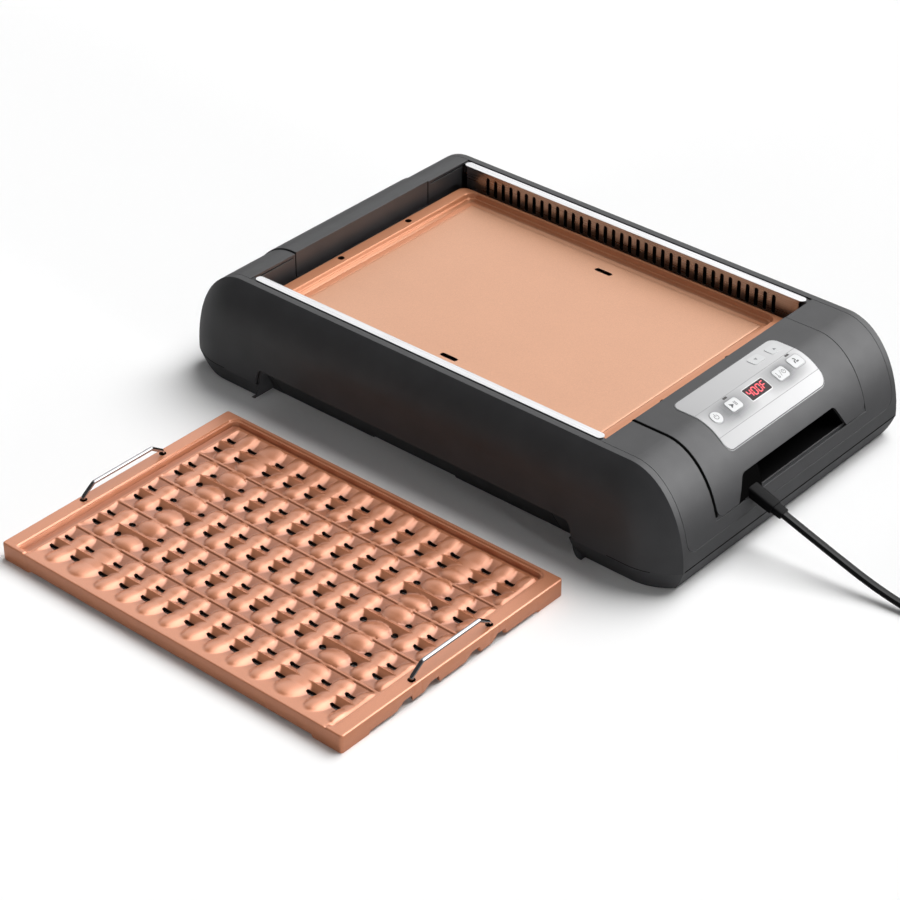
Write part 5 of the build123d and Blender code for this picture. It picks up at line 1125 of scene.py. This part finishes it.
class GRILL_OT_panel_print(bpy.types.Operator):
    """Adds the lines, frames, symbols and digits of the panel and its keys"""

    bl_idname = "grill.panel_print"
    bl_label = "Panel Print"

    def execute(self, context):
        width = settings().line_width / MM
        ink = grained("print_ink", (0.03, 0.03, 0.033), (0.38, 0.52), 800.0)
        grey = grained("print_grey", (0.2, 0.2, 0.21), (0.38, 0.52), 800.0)
        pale = grained("print_pale", (0.8, 0.8, 0.8), (0.34, 0.46), 800.0)

        lines = [stroke(densely([(x, -70.4), (x, 67.6)], 3.0), width, PANEL_LIFT) for x in BAND_X]
        printed("panel_lines", lines, grey)
        printed("panel_outline", [frame_line((205.15, 263.45, -70.65, 67.95), 7.7, 0.55)], ink)
        printed("display_frame", [frame_line((233.5, 246.5, -15.0, 13.0), 1.4, 0.5)], pale)
        centres = [KEYS[key][:2] for key in RINGED_KEYS]
        rings = [frame_line((x - 6.1, x + 6.1, y - 8.2, y + 8.2), 3.0, width) for x, y in centres]
        power_x, power_y = KEYS["power"][:2]
        rings.append(ring(power_x, power_y, 6.3, 49, width, PANEL_LIFT))
        printed("key_rings", rings, grey)

        # the film and the dark face of the display, each a thin curved plate
        film = curved_plate("panel_film", (204.8, 263.8, -71.0, 68.3), 8.0, 0.15, FILM_TOP,
                            panel_film("panel_film"))
        adopt(film, "body", "silver_overlay", "control_overlay")
        glass = grained("window_glass", (0.012, 0.002, 0.004), (0.24, 0.36), 200.0, Specular_IOR_Level=0.15)
        window = curved_plate("display_face", (234.0, 246.0, -14.5, 12.5), 1.0, 0.4, 1.31, glass)
        adopt(window, "body", "display_glass", "display_window")
        lens = grained("lamp_lens", (0.035, 0.03, 0.03), (0.22, 0.38), 500.0, Specular_IOR_Level=0.3)
        lamps = (("start_lamp", 230.4, -32.4, "indicator_lenses"), ("fan_lamp", 230.3, 54.3))
        for name, x, y, *replaced in lamps:
            lamp = curved_plate(name, (x - 1.1, x + 1.1, y - 2.6, y + 2.6), 0.5, 0.4, 1.33, lens)
            adopt(lamp, "body", "lens", *replaced)

        # power: an open ring and a bar
        signs = {"power": [stroke(arc(power_x, power_y, 2.1, 215, 505), 0.5, KEY_LIFT),
                           *bars(0.5, [(236.9, power_y), (240.0, power_y)])]}
        # start and pause: a triangle beside two bars
        x, y = KEYS["start_pause"][:2]
        wedge = [stroke(np.array([(x - 2.2 * (1 - s), y - 4.2 + 4.0 * s),
                                  (x + 2.2 * (1 - s) + 0.01, y - 4.2 + 4.0 * s)]), 0.56, KEY_LIFT)
                 for s in np.linspace(0, 1, 9)]
        signs["start_pause"] = wedge + bars(0.7, *([(x - 2.1, y + d), (x + 2.1, y + d)] for d in (1.4, 2.9)))
        # temperature and time: a stem with a bulb, a slash and a clock
        x, y = KEYS["temp_timer"][:2]
        signs["temp_timer"] = [
            *bars(0.55, [(x - 2.6, y - 4.3), (x + 1.4, y - 4.3)]),
            ring(x + 2.0, y - 4.3, 0.75, 17, 0.5, KEY_LIFT),
            *bars(0.35, [(x + 2.6, y - 1.2), (x - 2.6, y + 1.0)]),
            ring(x, y + 3.9, 1.9, 29, 0.42, KEY_LIFT),
            *bars(0.36, [(x - 1.2, y + 3.9), (x, y + 3.9), (x, y + 4.8)], step=0.4),
        ]
        # fan: three swept blades
        x, y = KEYS["fan"][:2]
        reach = np.linspace(0.5, 2.9, 12)
        turns = [np.radians(start + np.linspace(0, 75, 12)) for start in (0, 120, 240)]
        signs["fan"] = [stroke(np.stack([x + reach * np.cos(turn), y + reach * np.sin(turn)], axis=-1),
                               1.25, KEY_LIFT) for turn in turns]
        for key, strokes in signs.items():
            printed(f"{key}_symbol", strokes, ink, f"{key}_key")
        # up and down: small solid triangles
        for key, way in (("down", 1), ("up", -1)):
            x, y = KEYS[key][:2]
            wedge = [stroke(np.array([(x + way * (1.3 - 2.6 * s), y - 1.7 * s),
                                      (x + way * (1.3 - 2.6 * s), y + 1.7 * s + 0.01)]), 0.4, KEY_LIFT)
                     for s in np.linspace(0.02, 1, 8)]
            printed(f"{key}_symbol", wedge, grey, f"{key}_key")

        # the lit digits, seven bars each
        lit = glow("digit_glow", tuple(settings().digit_colour), 1.0)
        segments = []
        for n, sign in enumerate("400F"):
            y0 = -12.4 + 6.1 * n
            for name in DIGITS[sign]:
                ends = np.array([(240.0 - 3.5 * v, y0 + 3.9 * u + 0.5 * v) for u, v in SEGMENTS[name]])
                gap = (ends[1] - ends[0]) / np.linalg.norm(ends[1] - ends[0]) * 0.35
                segments.append(stroke(densely([ends[0] + gap, ends[1] - gap], 0.6), 0.85, PANEL_LIFT + 0.08))
        printed("display_digits", segments, lit)
        return {"FINISHED"}


# Seams of the housing

SEAM_Z = 20.9


def end_arc(count, foot, lift, start=193.0):
    """Points down the control end, x and z: level from start to the shoulder, then the quarter ellipse
    to the height foot, grown outward by lift."""
    low = math.asin((foot - POD_BASE) / (POD_RISE + lift))
    turn = np.linspace(math.pi / 2, low, count)
    x = SHOULDER + (POD_REACH + lift) * np.cos(turn)
    z = POD_BASE + (POD_RISE + lift) * np.sin(turn)
    level = np.linspace(start, SHOULDER - 1.0, 8)
    return np.concatenate([level, x]), np.concatenate([np.full(8, POD_BASE + POD_RISE + lift), z])


def ribbon(path, side, width):
    """A flat band along a path in space: every point moved half the width both ways along side."""
    path, side = np.asarray(path, float), np.asarray(side, float)
    both = np.stack([path - side * width / 2, path + side * width / 2], axis=1)
    return both.reshape(-1, 3) + WELL, grid_quads(len(path), 2)


def skin_of(*nodes):
    """A search tree over the CAD nodes' faces."""
    points, faces = [], []
    for node in nodes:
        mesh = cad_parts[node].data
        faces += [[v + len(points) for v in face.vertices] for face in mesh.polygons]
        points += [tuple(v.co) for v in mesh.vertices]
    return BVHTree.FromPolygons(points, faces)


def laid(tree, starts, aim, lift):
    """Where rays from starts, in millimetres from the well, meet the skin, and the skin's own
    direction there, the points raised by lift."""
    places, normals = [], []
    for start in np.asarray(starts, float) + WELL:
        place, normal, _, _ = tree.ray_cast(Vector(start * MM), Vector(aim))
        if place is None:
            raise RuntimeError("a seam line misses the housing")
        if normal.dot(Vector(aim)) > 0:
            normal = -normal
        places.append(np.array(place) / MM + np.array(normal) * lift - WELL)
        normals.append(np.array(normal))
    return np.array(places), np.array(normals)


def seam_line(tree, starts, aim, width, lift=0.06):
    """A line of painted shade on the housing: its path laid on the skin, each point moved half the width
    both ways across the path and along the skin."""
    path, normals = laid(tree, starts, aim, lift)
    side = np.cross(np.gradient(path, axis=0), normals)
    return ribbon(path, side / np.linalg.norm(side, axis=1, keepdims=True), width)


class GRILL_OT_seams(bpy.types.Operator):
    """Adds the dark seams round the control pod, round the housing's end and along its foot"""

    bl_idname = "grill.seams"
    bl_label = "Housing Seams"

    def execute(self, context):
        # painted shade: near-black ribbons where the gaps round the pod, along the end and at the feet fall
        # dark
        gap = grained("seam_shade", (0.003, 0.003, 0.003), (0.62, 0.78), 500.0, Specular_IOR_Level=0.0)
        x, z = end_arc(60, 49.0, 0.12)
        lines = [ribbon(np.stack([x, np.full(len(x), y), z], axis=-1), (0, 1, 0), width)
                 for y, width in ((-105.0, 3.0), (105.0, 1.0))]
        marked("pod_seams", joined(lines), gap)

        # the housing carried on under the pod's round lower corners and round the cord's way out
        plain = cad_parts["side_housing"].data.materials[0]
        patches = []
        for y0, y1, foot in ((-107.5, -92.0, 42.0), (92.0, 107.5, 42.0), (-66.0, -44.0, 34.0)):
            x, z = (values[-8:] for values in end_arc(14, foot, -0.25))
            patches.append(ribbon(np.stack([x, np.full(8, (y0 + y1) / 2), z], axis=-1), (0, 1, 0), y1 - y0))
        marked("pod_corner_backing", joined(patches), plain)

        # painted shade: a near-black patch laid on the pod over the hand recess's corner, where the sleeve
        # comes out
        z = np.linspace(47.5, 68.0, 12)
        x = SHOULDER + (POD_REACH + 0.3) * np.sqrt(1 - ((z - POD_BASE) / (POD_RISE + 0.3)) ** 2)
        left = -67.5 - (68.0 - z) * 0.37 + 2.2 * np.maximum((z - 65.0) / 3.0, 0) ** 2
        both = np.stack([np.stack([x, y, z], axis=-1) for y in (left, np.full(len(z), -43.8))], axis=1)
        marked("recess_corner_shade", (both.reshape(-1, 3) + WELL, grid_quads(len(z), 2)), gap)

        skin = skin_of("side_housing", "base_housing")
        end = [(330.0, y, SEAM_Z) for y in np.linspace(-152, 152, 90)]
        marked("end_seam", seam_line(skin, end, (-1, 0, 0), 1.1), gap)
        for name, x0, x1 in (("left_foot_seam", -240, -204), ("right_foot_seam", 222, 262)):
            foot = [(x, -240.0, SEAM_Z) for x in np.linspace(x0, x1, 14)]
            marked(name, seam_line(skin, foot, (0, 1, 0), 0.7), gap)
        return {"FINISHED"}


# Finishes of the CAD pieces

def dress(material, *nodes):
    """Gives CAD nodes their finish."""
    for node in nodes:
        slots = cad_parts[node].data.materials
        if len(slots):
            for n in range(len(slots)):
                slots[n] = material
        else:
            slots.append(material)


class GRILL_OT_housing_finish(bpy.types.Operator):
    """Gives the housing, pod, covers, tray and feet their moulded finishes"""

    bl_idname = "grill.housing_finish"
    bl_label = "Housing Finish"

    def execute(self, context):
        colour = tuple(settings().plastic_colour)
        # the housing's plastic paints shade inside its hand recesses
        dress(moulded_plastic("charcoal_plastic", colour, 0.46, shade_recesses=True),
              "base_housing", "side_housing", "top_housing", "control_pod", "handle_cover")
        dress(moulded_plastic("tray_plastic", tinted(colour, 0.8), 0.42), "drip_tray")
        dress(moulded_plastic("foot_rubber", (0.02, 0.02, 0.02), 0.8), "rubber_feet")
        dress(moulded_plastic("works_plastic", (0.05, 0.05, 0.055), 0.5), "fan_housing", "fan_impeller")
        dress(moulded_plastic("module_plastic", (0.02, 0.02, 0.022), 0.5, 0.0), "display_module")
        return {"FINISHED"}


class GRILL_OT_panel_finish(bpy.types.Operator):
    """Gives the keys their tops and finish"""

    bl_idname = "grill.panel_finish"
    bl_label = "Panel Finish"

    def execute(self, context):
        keys = grained("key_plastic", (0.64, 0.645, 0.65), (0.3, 0.42), 700.0, Specular_IOR_Level=0.35)
        relief(keys, grain(keys, 2500.0, 2.0), 0.08, 0.0001, 0.0004)
        for name, (x, y, half_x, half_y) in KEYS.items():
            box = (x - half_x, x + half_x, y - half_y, y + half_y)
            corner = half_x if name == "power" else 2.5
            key = curved_plate(f"{name}_key_top", box, corner, 0.0, KEY_TOP, keys)
            adopt(key, f"{name}_key", "key_plastic", f"{name}_button")
        return {"FINISHED"}


class GRILL_OT_metal_finish(bpy.types.Operator):
    """Gives the vent panels, wire handles, shield, element and screws their metal finishes"""

    bl_idname = "grill.metal_finish"
    bl_label = "Metal Finish"

    def execute(self, context):
        dress(brushed_steel("vent_stainless", (0.60, 0.60, 0.61), 0.27), "front_vent_panel", "rear_vent_panel")
        chrome = grained("handle_chrome", (0.27, 0.27, 0.28), (0.04, 0.12), 150.0, 3.0, 1.0)
        dress(chrome, "left_wire_handle", "right_wire_handle")
        for name, colour, roughness, metallic, *nodes in (
            ("shield_sheet", (0.62, 0.62, 0.63), 0.4, 1.0, "heat_shield", "element_brackets"),
            ("element_sheath", (0.16, 0.15, 0.15), 0.5, 1.0, "heating_element"),
            ("screw_steel", (0.45, 0.45, 0.46), 0.35, 1.0, "base_screws"),
            ("motor_can", (0.55, 0.55, 0.56), 0.35, 1.0, "fan_motor"),
            ("sensor_cap", (0.7, 0.66, 0.58), 0.35, 1.0, "temperature_sensor"),
            ("ceramic_block", (0.72, 0.70, 0.65), 0.6, 0.0, "terminal_block"),
        ):
            dress(plain_metal(name, colour, roughness, metallic), *nodes)
        board = finish("board_green", (0.02, 0.12, 0.06), 0.45, Coat_Weight=0.3)
        tracks = grain(board, 500.0, 1.0, (1, 0.2, 1))
        colours = [(0.45, (0.015, 0.09, 0.045)), (0.55, (0.04, 0.2, 0.1))]
        drive(board, "Base Color", ramp(board, tracks, colours))
        dress(board, "control_board", "power_board")
        return {"FINISHED"}


class GRILL_PT_looks(bpy.types.Panel):
    """Lists the steps that build the grill's look."""

    bl_label = "Indoor Grill"
    bl_idname = "GRILL_PT_looks"
    bl_space_type = "VIEW_3D"
    bl_region_type = "UI"
    bl_category = "Grill"

    def draw(self, context):
        looks = context.scene.grill_looks
        for key in GrillSettings.__annotations__:
            self.layout.prop(looks, key)
        for step in STEPS:
            self.layout.operator(step.bl_idname)


STEPS = (
    GRILL_OT_stage,
    GRILL_OT_cord,
    GRILL_OT_grill_plate,
    GRILL_OT_griddle,
    GRILL_OT_panel_print,
    GRILL_OT_housing_finish,
    GRILL_OT_seams,
    GRILL_OT_panel_finish,
    GRILL_OT_metal_finish,
)


def register():
    """Registers the settings, the steps and the panel."""
    for one in (GrillSettings, *STEPS, GRILL_PT_looks):
        bpy.utils.register_class(one)
    bpy.types.Scene.grill_looks = bpy.props.PointerProperty(type=GrillSettings)


def unregister():
    """Takes the panel, the steps and the settings away again."""
    del bpy.types.Scene.grill_looks
    for one in (GRILL_PT_looks, *reversed(STEPS), GrillSettings):
        bpy.utils.unregister_class(one)


def main():
    register()
    for step in STEPS:
        group, name = step.bl_idname.split(".")
        getattr(getattr(bpy.ops, group), name)()


if __name__ == "__main__":
    main()
